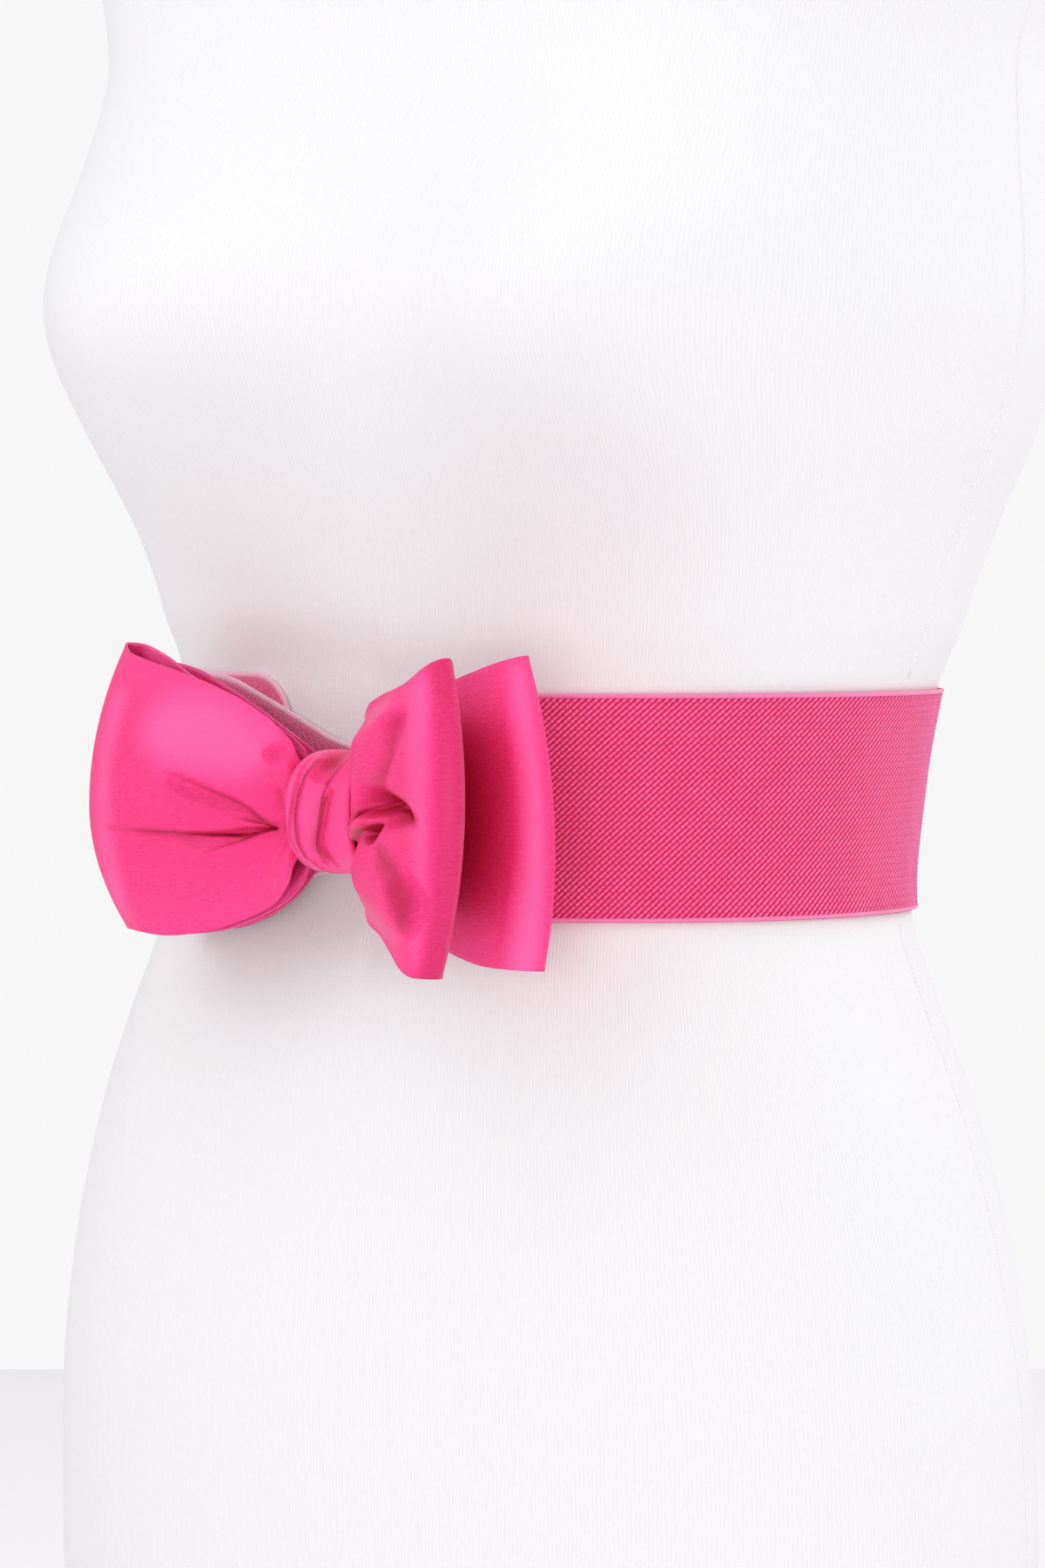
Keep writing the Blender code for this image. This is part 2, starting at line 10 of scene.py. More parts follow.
import bpy
import numpy as np
from bpy.props import FloatProperty, FloatVectorProperty, PointerProperty
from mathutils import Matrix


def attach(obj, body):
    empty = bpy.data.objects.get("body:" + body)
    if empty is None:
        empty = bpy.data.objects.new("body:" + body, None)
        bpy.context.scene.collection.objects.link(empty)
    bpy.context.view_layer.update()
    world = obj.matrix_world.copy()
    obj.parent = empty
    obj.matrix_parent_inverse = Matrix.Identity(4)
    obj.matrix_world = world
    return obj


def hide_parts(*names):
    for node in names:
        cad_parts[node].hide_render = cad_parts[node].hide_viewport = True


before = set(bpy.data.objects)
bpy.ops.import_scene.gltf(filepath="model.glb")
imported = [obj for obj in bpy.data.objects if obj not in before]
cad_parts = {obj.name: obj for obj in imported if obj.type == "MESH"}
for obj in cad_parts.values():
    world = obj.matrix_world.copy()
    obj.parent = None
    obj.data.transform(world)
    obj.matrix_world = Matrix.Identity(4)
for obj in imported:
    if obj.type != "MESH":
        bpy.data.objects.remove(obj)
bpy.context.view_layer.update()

bl_info = {
    "name": "Elastic Bow Belt",
    "version": (1, 0, 0),
    "blender": (4, 5, 0),
    "location": "3D View > Sidebar > Bow Belt",
    "description": "Makes a satin bow belt on a padded dress form",
    "category": "Object",
}

MM = 0.001
BODY = "root"

# ----------------------------------------------------------- sizes of the solids
GAP = 0.3
BELT_MIDDLE = 292.7
BELT_WIDTH = 60.0
BELT_RISE = 4.8
RISE_START = 180.0
RISE_RUN = 140.0
FORM_PRESS = 2.2
PRESS_FADE = 9.0
FORM_FOLLOW = 55.0
COVER_FADE = 18.0          # how softly the cover rises beside the belt
FORM_TOP = 735.0

# Columns: height, half width, half depth, how far back the middle lies, power.
FORM_LEVELS = (
    (0.0, 141.0, 97.5, -1.0, 2.3), (40.0, 143.0, 98.5, -1.0, 2.3),
    (80.0, 143.5, 98.0, -1.8, 2.3), (125.0, 142.5, 98.0, -3.0, 2.3),
    (166.0, 137.0, 96.0, -4.7, 2.3), (205.0, 127.5, 91.5, -5.8, 2.3),
    (232.0, 117.7, 88.7, -6.5, 2.25), (254.0, 110.3, 86.0, -5.3, 2.2),
    (275.0, 107.8, 84.5, -2.0, 2.2), (298.0, 108.0, 86.0, 2.5, 2.2),
    (322.0, 110.0, 89.5, 6.5, 2.2), (345.0, 114.6, 92.3, 10.0, 2.25),
    (368.0, 121.0, 96.5, 13.4, 2.3), (396.0, 131.2, 102.0, 16.0, 2.35),
    (430.0, 139.0, 106.0, 15.5, 2.4), (470.0, 136.5, 100.5, 16.5, 2.4),
    (492.0, 135.5, 98.0, 17.5, 2.4), (510.0, 139.5, 97.0, 18.5, 2.4),
    (540.0, 152.0, 89.0, 21.0, 2.4), (566.0, 158.5, 78.5, 23.0, 2.35),
    (587.0, 149.0, 68.0, 24.5, 2.3), (603.0, 121.0, 60.0, 25.5, 2.2),
    (617.0, 87.0, 56.0, 26.0, 2.1), (633.0, 62.0, 54.5, 26.0, 2.0),
    (655.0, 53.5, 53.5, 25.0, 2.0), (700.0, 52.0, 52.5, 22.0, 2.0),
    (735.0, 53.5, 53.5, 20.0, 2.0),
)
BUST_SIDE = 76.0
BUST_HEIGHT = 424.0
BUST_FULLNESS = 37.0
BUST_HALF_WIDTH = 43.0
BUST_RISE = 38.0
BUST_DROP = 35.0
BUST_SPREAD = 2.2

COVER_AROUND = 256
COVER_STEP = 3.0
WALE_WIDTH = 0.00090       # metres from wale to wale, and from course to course
COURSE_HEIGHT = 0.00115
EDGE_ROUNDING = 3.0        # radius at the neck's and the base's edges
NEXT_ROUNDING = 0.12       # share of it one level further in
CAP_RINGS = (0.94, 0.5)
DEGREE_RUN = 2.1           # how far a degree reaches round the form
# Soft drag lines of the knit.  Columns: places as (round the form from its front,
# height), depth, half width.
COVER_DRAGS = (
    (((96.0, 452.0), (88.0, 424.0), (80.0, 400.0), (76.0, 372.0)), -0.9, 6.0),
    (((104.0, 446.0), (96.0, 414.0), (90.0, 386.0)), -0.7, 5.0),
    (((34.0, 406.0), (26.5, 400.0), (14.0, 400.0)), -0.35, 5.0),
)
DRAG_ENDS = (4.0, 3.0)     # how soon a drag line sets in and fades
SEAM_ANGLES = (("lower", 98.0), ("upper", 92.0))   # degrees from the form's front
SEAM_RADIUS = 0.6
SEAM_SQUASH = 0.6
SEAM_LIFT = 0.05
SEAM_GAP = 3.0             # space left at the base and beside the belt
SEAM_TAPER = 8.0           # how far its ends taper, from a share of its size
SEAM_END = 0.2
SEAM_TOP = 560.0

BAND_BASE = 1.15           # thickness of the elastic's ground
BAND_ALONG = 300
BAND_ACROSS = 16
SELVEDGES = (("elastic_selvedge_top", 1.0, 0.62),
             ("elastic_selvedge_bottom", -1.0, 0.5))
SELVEDGE_INSET = 0.62
SELVEDGE_LIFT = 0.12
SELVEDGE_SQUASH = 0.72
BEAD_NECK = 0.34           # share of a rib's size lost between its beads
BEAD_WEAK = 0.10           # and on every second bead
BEAD_CROWN = (0.40, 0.85)  # bead sizes at which its painted shade is full and gone
BAND_START = 38.0
BAND_END = -88.0
UNDER_TAB_END = -32.0
TAB_CORNER = 12.0
TAB_WALL = 1.3
LAP_START = 16.0
LAP_RUN = 30.0
TAB_LIFT = 0.15            # space under a tab's web
WEB_WALL = 0.9
WEB_INSET = 0.3            # how far its binding covers the web's edge
BINDING_WIDTH = 0.95       # half width of the binding along a tab's edge
BINDING_INSET = 0.75       # share of it that lies inside the edge
BINDING_LIFT = 0.08
BINDING_SQUASH = 0.66
CAP_PLACES = 7             # places of the binding along a tab's end
SHORTEST_STEP = 0.12       # places of the binding closer than this are dropped
# Threads along a tab's edge.  Columns: distance in from the edge, length of a
# stitch, how far it swings to each side, how much it wanders.
TAB_THREADS = ((1.95, 1.7, 0.22, 0.1), (2.9, 2.3, 0.45, 0.9), (4.1, 2.9, 0.55, 1.2),
               (5.4, 2.5, 0.5, 1.3))
THREAD_RADIUS = 0.15
THREAD_STEPS = 6.0         # points to a stitch
THREAD_GRAIN = 520.0       # how quickly it wanders, in grains a metre
THREAD_DEPTHS = (-0.4, 1.0)   # how far it dips into and stands off the web
TUBE_SIDES = 8
# Columns: X at the front of the form, half height there, height of its middle.
OVER_TAB_SHAPE = (
    (37.7, 30.0, 292.7), (32.0, 28.4, 292.7), (24.0, 23.0, 292.5),
    (14.0, 17.4, 292.0), (5.0, 15.6, 291.9), (-5.0, 15.8, 292.0),
    (-14.0, 17.6, 292.3), (-24.0, 21.2, 293.3), (-38.0, 26.0, 294.8),
    (-52.0, 29.6, 296.4), (-58.0, 30.0, 297.2), (-66.0, 30.0, 297.4),
    (-71.0, 28.8, 297.4), (-75.0, 25.6, 297.4), (-78.0, 19.5, 297.4),
)

LOOP_COLUMNS = ("name", "side", "root_y", "root_gap", "swing", "turn_run", "reach",
                "tip_bow", "tip_lean", "curl", "front_fullness", "back_fullness",
                "back_drop")
LOOPS = (
    ("bow_front_loop_right", -1, -111.6, 3.2, -5.3, 16.0, 78.1, 13.2, 0.0, 0.0,
     6.0, 4.5, 2.0),
    ("bow_back_loop_right", -1, -99.3, 2.9, -16.0, 16.0, 77.0, 10.0, 0.0, 0.0,
     4.0, 3.0, 0.0),
    ("bow_front_loop_left", 1, -111.6, 3.2, 36.0, 10.0, 78.0, 10.0, 3.5, 0.6,
     9.0, 3.0, 1.0),
    ("bow_back_loop_left", 1, -99.3, 2.9, 14.0, 16.0, 72.5, 6.5, -3.0, 0.0,
     6.5, 3.0, 0.0),
)
LOOP_ROOT = 0.8
LOOP_MOUTH = 9.0
LOOP_OPENING = 35.0
ROOT_CURVE = 2.6
EDGE_FLATTEN = 0.3
CROWDING = 0.45
LOOP_EDGES = {
    "bow_front_loop_right": ((0.00, 8.2, -8.2), (0.045, 10.5, -10.5),
                             (0.085, 18.5, -18.5), (0.15, 23.2, -23.6),
                             (0.22, 26.8, -26.8), (0.31, 30.8, -29.6),
                             (0.47, 35.5, -32.6),
                             (0.70, 40.0, -33.8), (1.00, 44.0, -32.4)),
    "bow_back_loop_right":  ((0.00, 11.8, -11.8), (0.14, 12.5, -12.5),
                             (0.18, 15.5, -17.5), (0.27, 19.5, -24.0),
                             (0.45, 25.6, -30.0), (0.70, 32.4, -33.4),
                             (0.90, 36.9, -33.4), (1.00, 38.4, -33.0)),
    "bow_front_loop_left":  ((0.00, 8.2, -8.2), (0.13, 9.6, -9.6),
                             (0.20, 18.0, -16.5), (0.30, 23.5, -22.6),
                             (0.45, 28.6, -27.4), (0.62, 31.4, -29.8),
                             (0.74, 33.0, -33.4), (0.82, 34.4, -36.6),
                             (0.88, 36.2, -38.8), (0.94, 38.6, -40.0),
                             (1.00, 41.0, -40.2)),
    "bow_back_loop_left":   ((0.00, 11.8, -11.8), (0.15, 12.5, -12.5),
                             (0.19, 15.5, -15.5), (0.32, 22.5, -24.0),
                             (0.50, 31.0, -33.0), (0.64, 34.8, -36.8),
                             (0.80, 37.8, -38.9), (1.00, 41.3, -39.5)),
}
# How much lower the upper edge lies on the front and on the back ply, by the share
# of the way out.
EDGE_DROPS = {
    "bow_front_loop_right": ((0.0, 0.0, 2.0), (0.4, 0.6, 4.2), (0.6, 1.1, 2.8),
                             (0.75, 1.5, 0.5), (0.9, 1.4, -0.6), (1.0, 0.6, -0.4)),
}
# How far a loop's back ply closes up to its front ply along its edges.
EDGE_PINCH = {"bow_front_loop_right": 0.82}
PINCH_START = 0.45         # share of the half width from which it closes up
KNOT_MIDDLE = 291.7
KNOT_CENTRE = 0.8
KNOT_HALF_HEIGHT = 16.2
KNOT_FRONT = -121.5
KNOT_POWER = 2.5
KNOT_SEAT = 0.6

# ------------------------------------------------------------ folds of the cloth
# The loops' broad swells, by loop and ply (+1 front, -1 back).  Columns: start and
# end as (out from the knot, up over its middle), half width, depth.
SWELLS = {
    ("bow_front_loop_right", 1): (
        ((12.0, -4.6), (64.0, -6.5), 6.0, -2.2),
        ((12.0, -1.0), (46.0, 9.0), 4.5, -1.6),
        ((12.0, 0.5), (54.0, 2.5), 5.0, 1.6),
        ((12.0, -9.0), (50.0, -17.0), 6.0, 2.2),
        ((10.0, 6.0), (70.0, 12.0), 13.0, 4.0),
        ((3.0, 16.0), (16.0, 21.0), 6.0, 2.4),
        ((2.0, 4.0), (9.4, 1.0), 11.0, 2.6),
        ((2.0, -12.0), (9.4, -8.0), 8.0, 2.6),
        ((3.0, -16.0), (16.0, -19.0), 6.0, 2.4),
    ),
    ("bow_front_loop_right", -1): (
        ((14.0, 3.0), (52.0, 9.0), 6.0, 1.4),
        ((60.0, 40.0), (90.0, 42.0), 10.0, -2.0),
    ),
    ("bow_back_loop_right", -1): (
        ((16.0, -2.0), (56.0, -8.0), 6.0, 1.2),
    ),
    ("bow_back_loop_right", 1): (
        ((16.0, 4.0), (46.0, 15.0), 6.0, -1.4),
    ),
    ("bow_front_loop_left", 1): (
        ((40.0, 4.0), (72.0, -0.2), 2.9, -8.0),
        ((42.0, 6.0), (62.0, 26.0), 3.4, -1.8),
    ),
    ("bow_front_loop_left", -1): (
        ((16.0, 0.0), (46.0, 8.0), 6.0, 1.6),
        ((16.0, -6.0), (46.0, -20.0), 6.0, 1.4),
    ),
    ("bow_back_loop_left", 1): (
        ((18.0, -2.0), (50.0, -6.0), 6.0, -2.0),
    ),
    ("bow_back_loop_left", -1): (
        ((18.0, 2.0), (52.0, 10.0), 6.0, 2.0),
        ((18.0, -5.0), (46.0, -18.0), 6.0, 1.8),
    ),
}

# Puffs, hollows and dimples: whole patches of a ply that stand out or sink in,
# or only take painted shade or painted highlight.  Columns: outline as (out, up),
# height, width of the slope at its edge, how much painted shade its colour gets,
# or how much painted highlight where it is negative.
PUFFS = {
    ("bow_front_loop_right", 1): (
        (((12.0, 15.0), (20.0, 25.0), (32.0, 30.0), (46.0, 28.0), (52.0, 20.0),
          (44.0, 12.0), (30.0, 9.0), (19.0, 9.0)), 0.0, 14.0, -0.62),
        (((60.0, 30.0), (68.0, 26.0), (72.5, 0.0), (68.0, -24.0), (61.0, -28.0),
          (64.0, -10.0), (65.0, 10.0)), 0.0, 8.0, -0.5),
        (((10.6, -4.5), (14.5, -4.2), (19.5, -4.4), (26.0, -5.3), (36.0, -6.0),
          (26.0, -6.7), (19.5, -7.0), (14.5, -5.7)), -1.6, 1.7, 0.55),
        (((13.0, -5.4), (20.0, -6.6), (28.0, -6.4), (38.0, -6.8), (36.0, -10.6),
          (27.0, -9.4), (19.0, -7.4)), 0.0, 3.0, 0.2),
        (((18.0, 0.6), (27.0, 3.4), (36.0, 6.6), (41.0, 6.8), (34.0, 2.6), (26.0, 0.2),
          (19.0, -0.8)), 0.0, 4.0, 0.24),
        (((8.0, 16.4), (10.6, 17.0), (12.6, 15.0), (10.4, 13.4), (8.2, 13.8)), -0.4,
         3.0, 0.2),
        (((8.6, 5.6), (10.6, 5.0), (10.9, 0.5), (9.6, -0.5), (8.4, 2.0)), -0.5, 2.4,
         0.25),
    ),
    ("bow_front_loop_left", 1): (
        (((65.0, 34.0), (73.0, 32.0), (75.5, 0.0), (73.0, -32.0), (64.0, -36.0),
          (68.5, -14.0), (68.0, 6.0)), 0.0, 8.0, -0.42),
        (((13.0, 0.0), (22.0, 1.0), (32.0, 3.6), (43.0, 9.0), (49.0, 13.6),
          (54.0, 18.6), (58.0, 23.5), (57.0, 28.0), (46.0, 25.0), (34.0, 22.0),
          (22.0, 18.0), (14.0, 12.0)), 4.6, 10.0, 0.0),
        (((13.0, -9.0), (27.0, -8.4), (46.0, -8.0), (58.0, -10.0), (64.0, -13.0),
          (67.0, -16.5), (66.5, -20.5), (63.0, -26.0), (55.0, -26.5), (38.0, -21.5),
          (22.0, -17.0), (14.0, -12.0)), 4.2, 12.0, 0.0),
        (((43.0, 1.2), (44.0, 4.6), (50.0, 6.4), (57.0, 4.8), (64.0, 1.8), (69.0, 0.0),
          (60.0, -0.4), (50.0, 0.8)), -0.6, 5.0, 0.8),
        (((41.4, -3.6), (44.4, -2.4), (47.6, -1.8), (49.4, -3.6), (49.0, -5.9),
          (45.4, -6.4), (41.8, -5.4)), -4.0, 1.8, 1.0),
        (((47.0, 9.6), (51.0, 13.0), (56.0, 19.0), (60.0, 26.0), (62.6, 25.4),
          (59.0, 18.6), (54.4, 12.0), (50.0, 8.4)), -0.9, 6.0, 0.6),
        (((54.0, -7.0), (61.0, -9.0), (66.0, -13.0), (69.0, -18.6), (66.6, -25.0),
          (62.6, -28.0), (62.8, -20.6), (60.6, -14.6), (54.4, -9.6)), 0.0, 5.0, 0.62),
    ),
    ("bow_back_loop_left", 1): (
        (((62.0, 38.0), (72.0, 36.0), (75.0, 10.0), (75.0, -12.0), (71.0, -40.0),
          (62.0, -40.0), (67.5, -10.0), (67.0, 10.0)), 0.0, 7.0, -0.9),
    ),
}

# Creases.  Each runs along a line of places on one ply, away from the knot.
# Columns: places as (out, up), then for the upper and for the lower side of the
# line the height of the cloth and its half widths at the start and at the end, how
# sharp the step between the sides is, the shares of its length over which it sets
# in and fades, and how dark the painted shade along its line is.
CREASES = {
    ("bow_front_loop_right", 1): (
        (((16.0, -5.4), (20.0, -6.0), (35.0, -6.1), (50.0, -5.8), (69.0, -5.4)),
         (0.9, 2.0, 5.0), (-0.9, 1.4, 5.0), 0.14, (0.25, 0.5), 0.7),
        (((10.5, -4.1), (14.5, -1.7), (19.0, 1.8), (27.4, 5.1), (35.6, 8.2),
          (44.0, 10.4)), (0.8, 1.0, 5.0), (-1.0, 0.8, 4.2), 0.16, (0.04, 0.7), 0.75),
        (((10.5, -4.3), (14.5, -3.1), (19.5, -2.0), (25.0, -1.2)), (0.7, 0.7, 2.0),
         (-0.5, 0.5, 1.6), 0.14, (0.04, 0.7), 0.7),
        (((10.6, -4.7), (14.5, -5.9), (19.0, -7.6), (27.0, -10.0), (39.0, -13.4)),
         (-0.8, 0.6, 2.0), (0.9, 0.6, 3.0), 0.18, (0.04, 0.75), 0.5),
    ),
    ("bow_front_loop_right", -1): (
        (((12.0, 2.0), (30.0, 6.0), (52.0, 9.0)), (0.7, 1.4, 3.6), (-0.6, 1.4, 3.6),
         0.25, (0.1, 0.6), 0.4),
        (((12.0, -4.0), (28.0, -9.0), (46.0, -12.0)), (-0.6, 1.4, 3.4), (0.7, 1.4, 3.4),
         0.25, (0.1, 0.6), 0.4),
    ),
    ("bow_front_loop_left", 1): (
        (((13.0, -3.0), (22.0, -1.0), (34.0, 2.8), (45.0, 8.0), (52.4, 13.2),
          (58.6, 18.6), (64.0, 25.0)), (1.8, 1.3, 2.6), (1.8, 1.2, 2.2), 0.4,
         (0.15, 0.75), 0.0),
        (((13.0, -3.8), (24.0, -2.2), (36.0, 0.8), (44.0, 4.2), (49.0, 7.2)),
         (0.5, 1.0, 1.6), (-1.0, 0.9, 1.4), 0.2, (0.1, 0.4), 0.8),
        (((13.0, -5.6), (24.0, -4.4), (34.0, -2.6), (42.0, -0.6), (48.6, 1.0),
          (54.0, 1.2)), (3.6, 1.5, 1.6), (3.6, 1.5, 1.2), 0.4, (0.1, 0.3), 0.0),
        (((13.0, -6.9), (24.0, -6.4), (33.0, -4.9), (41.0, -2.8), (47.6, -1.2),
          (50.4, -1.4)), (0.2, 1.0, 1.0), (-0.6, 1.0, 1.2), 0.2, (0.1, 0.2), 0.9),
        (((49.0, 1.9), (54.0, 1.5), (60.0, 0.3), (70.0, -1.6)), (-0.9, 1.2, 2.4),
         (1.2, 1.4, 3.0), 0.25, (0.1, 0.7), 0.6),
        (((50.0, -7.2), (57.0, -8.6), (62.0, -11.0), (65.6, -14.6), (67.0, -18.8),
          (65.0, -24.6)), (0.3, 1.2, 2.6), (-0.3, 1.2, 2.6), 0.5, (0.12, 0.6), 0.35),
    ),
    ("bow_front_loop_left", -1): (
        (((12.0, 2.0), (30.0, 6.0), (50.0, 10.0)), (0.7, 1.4, 3.6), (-0.6, 1.4, 3.6),
         0.25, (0.1, 0.6), 0.4),
        (((12.0, -4.0), (30.0, -10.0), (48.0, -17.0)), (-0.6, 1.4, 3.4),
         (0.7, 1.4, 3.4), 0.25, (0.1, 0.6), 0.4),
    ),
    ("bow_back_loop_right", 1): (
        (((14.0, 2.0), (30.0, 8.0), (48.0, 15.0)), (0.6, 1.5, 3.6), (-0.6, 1.5, 3.6),
         0.25, (0.1, 0.6), 0.4),
    ),
    ("bow_back_loop_right", -1): (
        (((13.0, -1.0), (32.0, -5.0), (54.0, -8.0)), (0.8, 1.4, 3.6), (-0.7, 1.4, 3.6),
         0.25, (0.1, 0.6), 0.5),
        (((13.0, 3.0), (28.0, 8.0), (44.0, 15.0)), (-0.5, 1.4, 3.2), (0.6, 1.4, 3.2),
         0.25, (0.1, 0.6), 0.4),
    ),
    ("bow_back_loop_left", 1): (
        (((14.0, -2.0), (34.0, -5.0), (52.0, -7.0)), (0.6, 1.6, 4.0), (-0.7, 1.6, 4.0),
         0.25, (0.1, 0.6), 0.4),
    ),
    ("bow_back_loop_left", -1): (
        (((13.0, 1.0), (32.0, 6.0), (52.0, 11.0)), (0.8, 1.4, 3.6), (-0.7, 1.4, 3.6),
         0.25, (0.1, 0.6), 0.5),
        (((13.0, -4.0), (30.0, -11.0), (46.0, -19.0)), (-0.6, 1.4, 3.4),
         (0.6, 1.4, 3.4), 0.25, (0.1, 0.6), 0.4),
    ),
}
# How much painted shade the ribbon gets where it turns away round each loop's tip.
TIP_PAINTED_SHADE = {"bow_front_loop_right": 0.10, "bow_back_loop_right": 0.12,
             "bow_front_loop_left": 0.38, "bow_back_loop_left": 0.0}
TIP_PAINTED_SHADE_WIDTH = 6.0
PUFF_START = 10.0
PUFF_RISE = 34.0           # distance from the knot over which puffs fill out
SWELL_ENDS = (0.25, 0.4, 0.55)   # shares of a swell over which it sets in and fades
CREASE_START = 0.25        # how far a crease has set in where it begins
DARK_LEAST = 0.02          # the painted shade from which a fold counts as dark
CREASE_LINE = 0.50         # half width of the painted shade line along a crease
PLEAT_HEIGHT = 0.45
PLEATS_ACROSS = 2.5
PLEAT_REACH = 26.0
TIP_CALM = 0.35

SATIN_THICKNESS = 0.45
SATIN_HEM = 0.22           # how much thicker the ribbon is along its woven edge
HEM_WIDTH = 0.5
PAINTED_SHADE_REACH = 0.030       # metres of depth within which ambient occlusion paints shade on the satin
EDGE_LIGHT = 0.80          # painted light: how much of the painted hollow shade the cloth's edges lose
EDGE_LIGHT_WIDTH = 10.0
OUTER_LIGHT = 0.2          # share of it that shows on the other face
OUTER_LIMIT = 5.0          # how fast it gives way to a fold's own painted shade there
PAINTED_SHADE_OPENNESS = (0.14, 0.84)  # openness at which the painted shade colour is full and none
RIBBON_CUT = 0.92          # share of its rectangle left after its ends are tapered
LOOP_DETAIL = {"bow_front_loop_right": (50, 150, 180),
               "bow_back_loop_right": (60, 60, 100),
               "bow_front_loop_left": (50, 160, 170),
               "bow_back_loop_left": (60, 110, 100)}
MIDDLE_CROWDING = 0.62     # how much closer the rows lie along the loops' middle

# Pleats of the knot.  Columns: the pleat's line as (height over the knot's
# middle, place along the knot), height of the cloth on its right and on its
# left, half widths right and left, how sharp the step is, how dark the painted
# shade along its line is, and the heights between which it runs.
KNOT_PLEATS = (
    (((-14.5, 3.0), (-12.2, 1.1), (-10.0, -1.1), (-6.0, -1.6), (-1.5, -1.7),
      (2.3, -1.1), (6.0, -0.5), (12.6, 1.4), (15.3, 2.5)),
     1.9, -1.1, 2.4, 1.1, 0.12, 1.0, (-15.0, 14.5)),
    (((-14.0, 4.4), (-9.0, 3.9), (-4.0, 5.0), (0.0, 5.8), (4.5, 6.6), (7.5, 7.9),
      (11.5, 10.1)),
     1.8, -1.1, 2.2, 1.2, 0.12, 1.0, (-11.0, 13.0)),
    (((-13.5, -4.0), (-10.0, -4.2), (-6.6, -5.2), (-1.0, -4.6), (4.0, -3.7),
      (9.9, -3.1), (15.0, -2.0)),
     0.9, -0.8, 1.8, 1.6, 0.26, 0.45, (-9.0, 13.0)),
    (((-13.0, 6.6), (-7.0, 5.2), (-2.0, 6.6), (2.0, 7.4), (6.0, 9.0)),
     0.8, -0.5, 0.9, 0.9, 0.15, 0.9, (-12.0, 4.5)),
)
KNOT_PLEAT_ENDS = 4.0      # height over which a pleat sets in and fades
KNOT_LINE = 0.42           # half width of the painted shade line along a pleat
KNOT_HOLLOW = (13.2, 4.6, 3.2, 2.9, 1.9)   # height, place, half sizes, depth
KNOT_HOLLOW_EDGE = 0.7
KNOT_HOLLOW_PAINTED_SHADE = 0.75
KNOT_WALL = 0.9
KNOT_INSET = 0.2           # how far its front lies inside the solid's
KNOT_FRONT_START = 0.4     # how far round the knot its pleats reach
KNOT_REACH = (7.8, 13.9)   # how far it goes to the wearer's right and left
KNOT_SHOULDER = (5.0, 1.3)  # width over which its right and left edges turn in
KNOT_TURN_IN = (4.4, 1.3)
KNOT_TURN_SHARE = 0.96     # how much of a quarter circle they turn
KNOT_PAINTED_HIGHLIGHT = 0.42          # how much painted highlight the satin gets on its front
KNOT_DETAIL = (170, 84)

# ------------------------------------------------------- the camera and the room
# In metres and degrees.
CAMERA_AZIMUTH = 32.0
CAMERA_DISTANCE = 1.590
CAMERA_SIDE = -0.0065
CAMERA_HEIGHT = 0.350
CAMERA_LENS = 130.78
CAMERA_TILT = 1.953
TABLE_BEHIND = 0.958
TABLE_AHEAD = 3.5
TABLE_SIDE = 3.0
ROOM_LIGHT = 0.67          # share of the room's brightness that lights the belt
LIGHT_TARGET = (0.0, 0.0, 0.33)
LIGHT_DISTANCE = 1.9
LIGHT_SIZE = 1.0
# Soft lights.  Columns: name, azimuth, elevation, power.
LIGHTS = (
    ("key_light", -40.0, 30.0, 5.6),
    ("upper_light", -20.0, 60.0, 4.0),
    ("front_light", 25.0, -8.0, 13.2),
    ("side_light", 95.0, 30.0, 5.6),
    ("back_light", 150.0, 40.0, 10.0),
    ("top_light", 0.0, 88.0, 3.4),
)


# ------------------------------------------------------------------ small maths
def smooth_step(value):
    """Ease from 0 to 1 as value goes from 0 to 1."""
    value = np.clip(value, 0.0, 1.0)
    return value * value * (3.0 - 2.0 * value)


def read_table(rows, key):
    """Read the columns after the first at each key, along a smooth curve."""
    table = np.array(rows, dtype=float)
    if table[0, 0] > table[-1, 0]:
        table = table[::-1]
    keys, values = table[:, 0], table[:, 1:]
    chord = np.diff(values, axis=0) / np.diff(keys)[:, None]
    slope = np.empty_like(values)
    slope[0], slope[-1] = chord[0], chord[-1]
    before, after = chord[:-1], chord[1:]
    agree = before * after > 0.0
    slope[1:-1] = np.where(agree, 2.0 * before * after
                           / np.where(agree, before + after, 1.0), 0.0)
    key = np.clip(np.asarray(key, dtype=float), keys[0], keys[-1])
    index = np.clip(np.searchsorted(keys, key, side="left") - 1, 0, len(keys) - 2)
    span = keys[index + 1] - keys[index]
    part = (key - keys[index]) / span
    square, cube = part ** 2, part ** 3
    columns = []
    for column in range(values.shape[1]):
        here, there = values[index, column], values[index + 1, column]
        slope_here = slope[index, column] * span
        slope_there = slope[index + 1, column] * span
        columns.append((2 * cube - 3 * square + 1) * here
                       + (cube - 2 * square + part) * slope_here
                       + (3 * square - 2 * cube) * there
                       + (cube - square) * slope_there)
    return columns


def smooth_line(places, closed=False, steps=6):
    """More places along a smooth curve through the given ones."""
    places = np.array(places, dtype=float)
    if closed:
        ends = np.concatenate([places[-1:], places, places[:2]])
    else:
        ends = np.concatenate([[2.0 * places[0] - places[1]], places,
                               [2.0 * places[-1] - places[-2]]])
    part = np.arange(steps)[:, None] / steps
    rows = []
    for before, here, there, after in zip(ends, ends[1:], ends[2:], ends[3:]):
        rows.append(here + 0.5 * ((there - before) * part
                                  + (2.0 * before - 5.0 * here + 4.0 * there
                                     - after) * part ** 2
                                  + (3.0 * here - before - 3.0 * there
                                     + after) * part ** 3))
    return np.concatenate(rows + [places[:1] if closed else places[-1:]])


def bell(distance, half_width):
    """1 on the line, falling off softly to both sides."""
    return np.exp(-0.5 * (distance / half_width) ** 2)


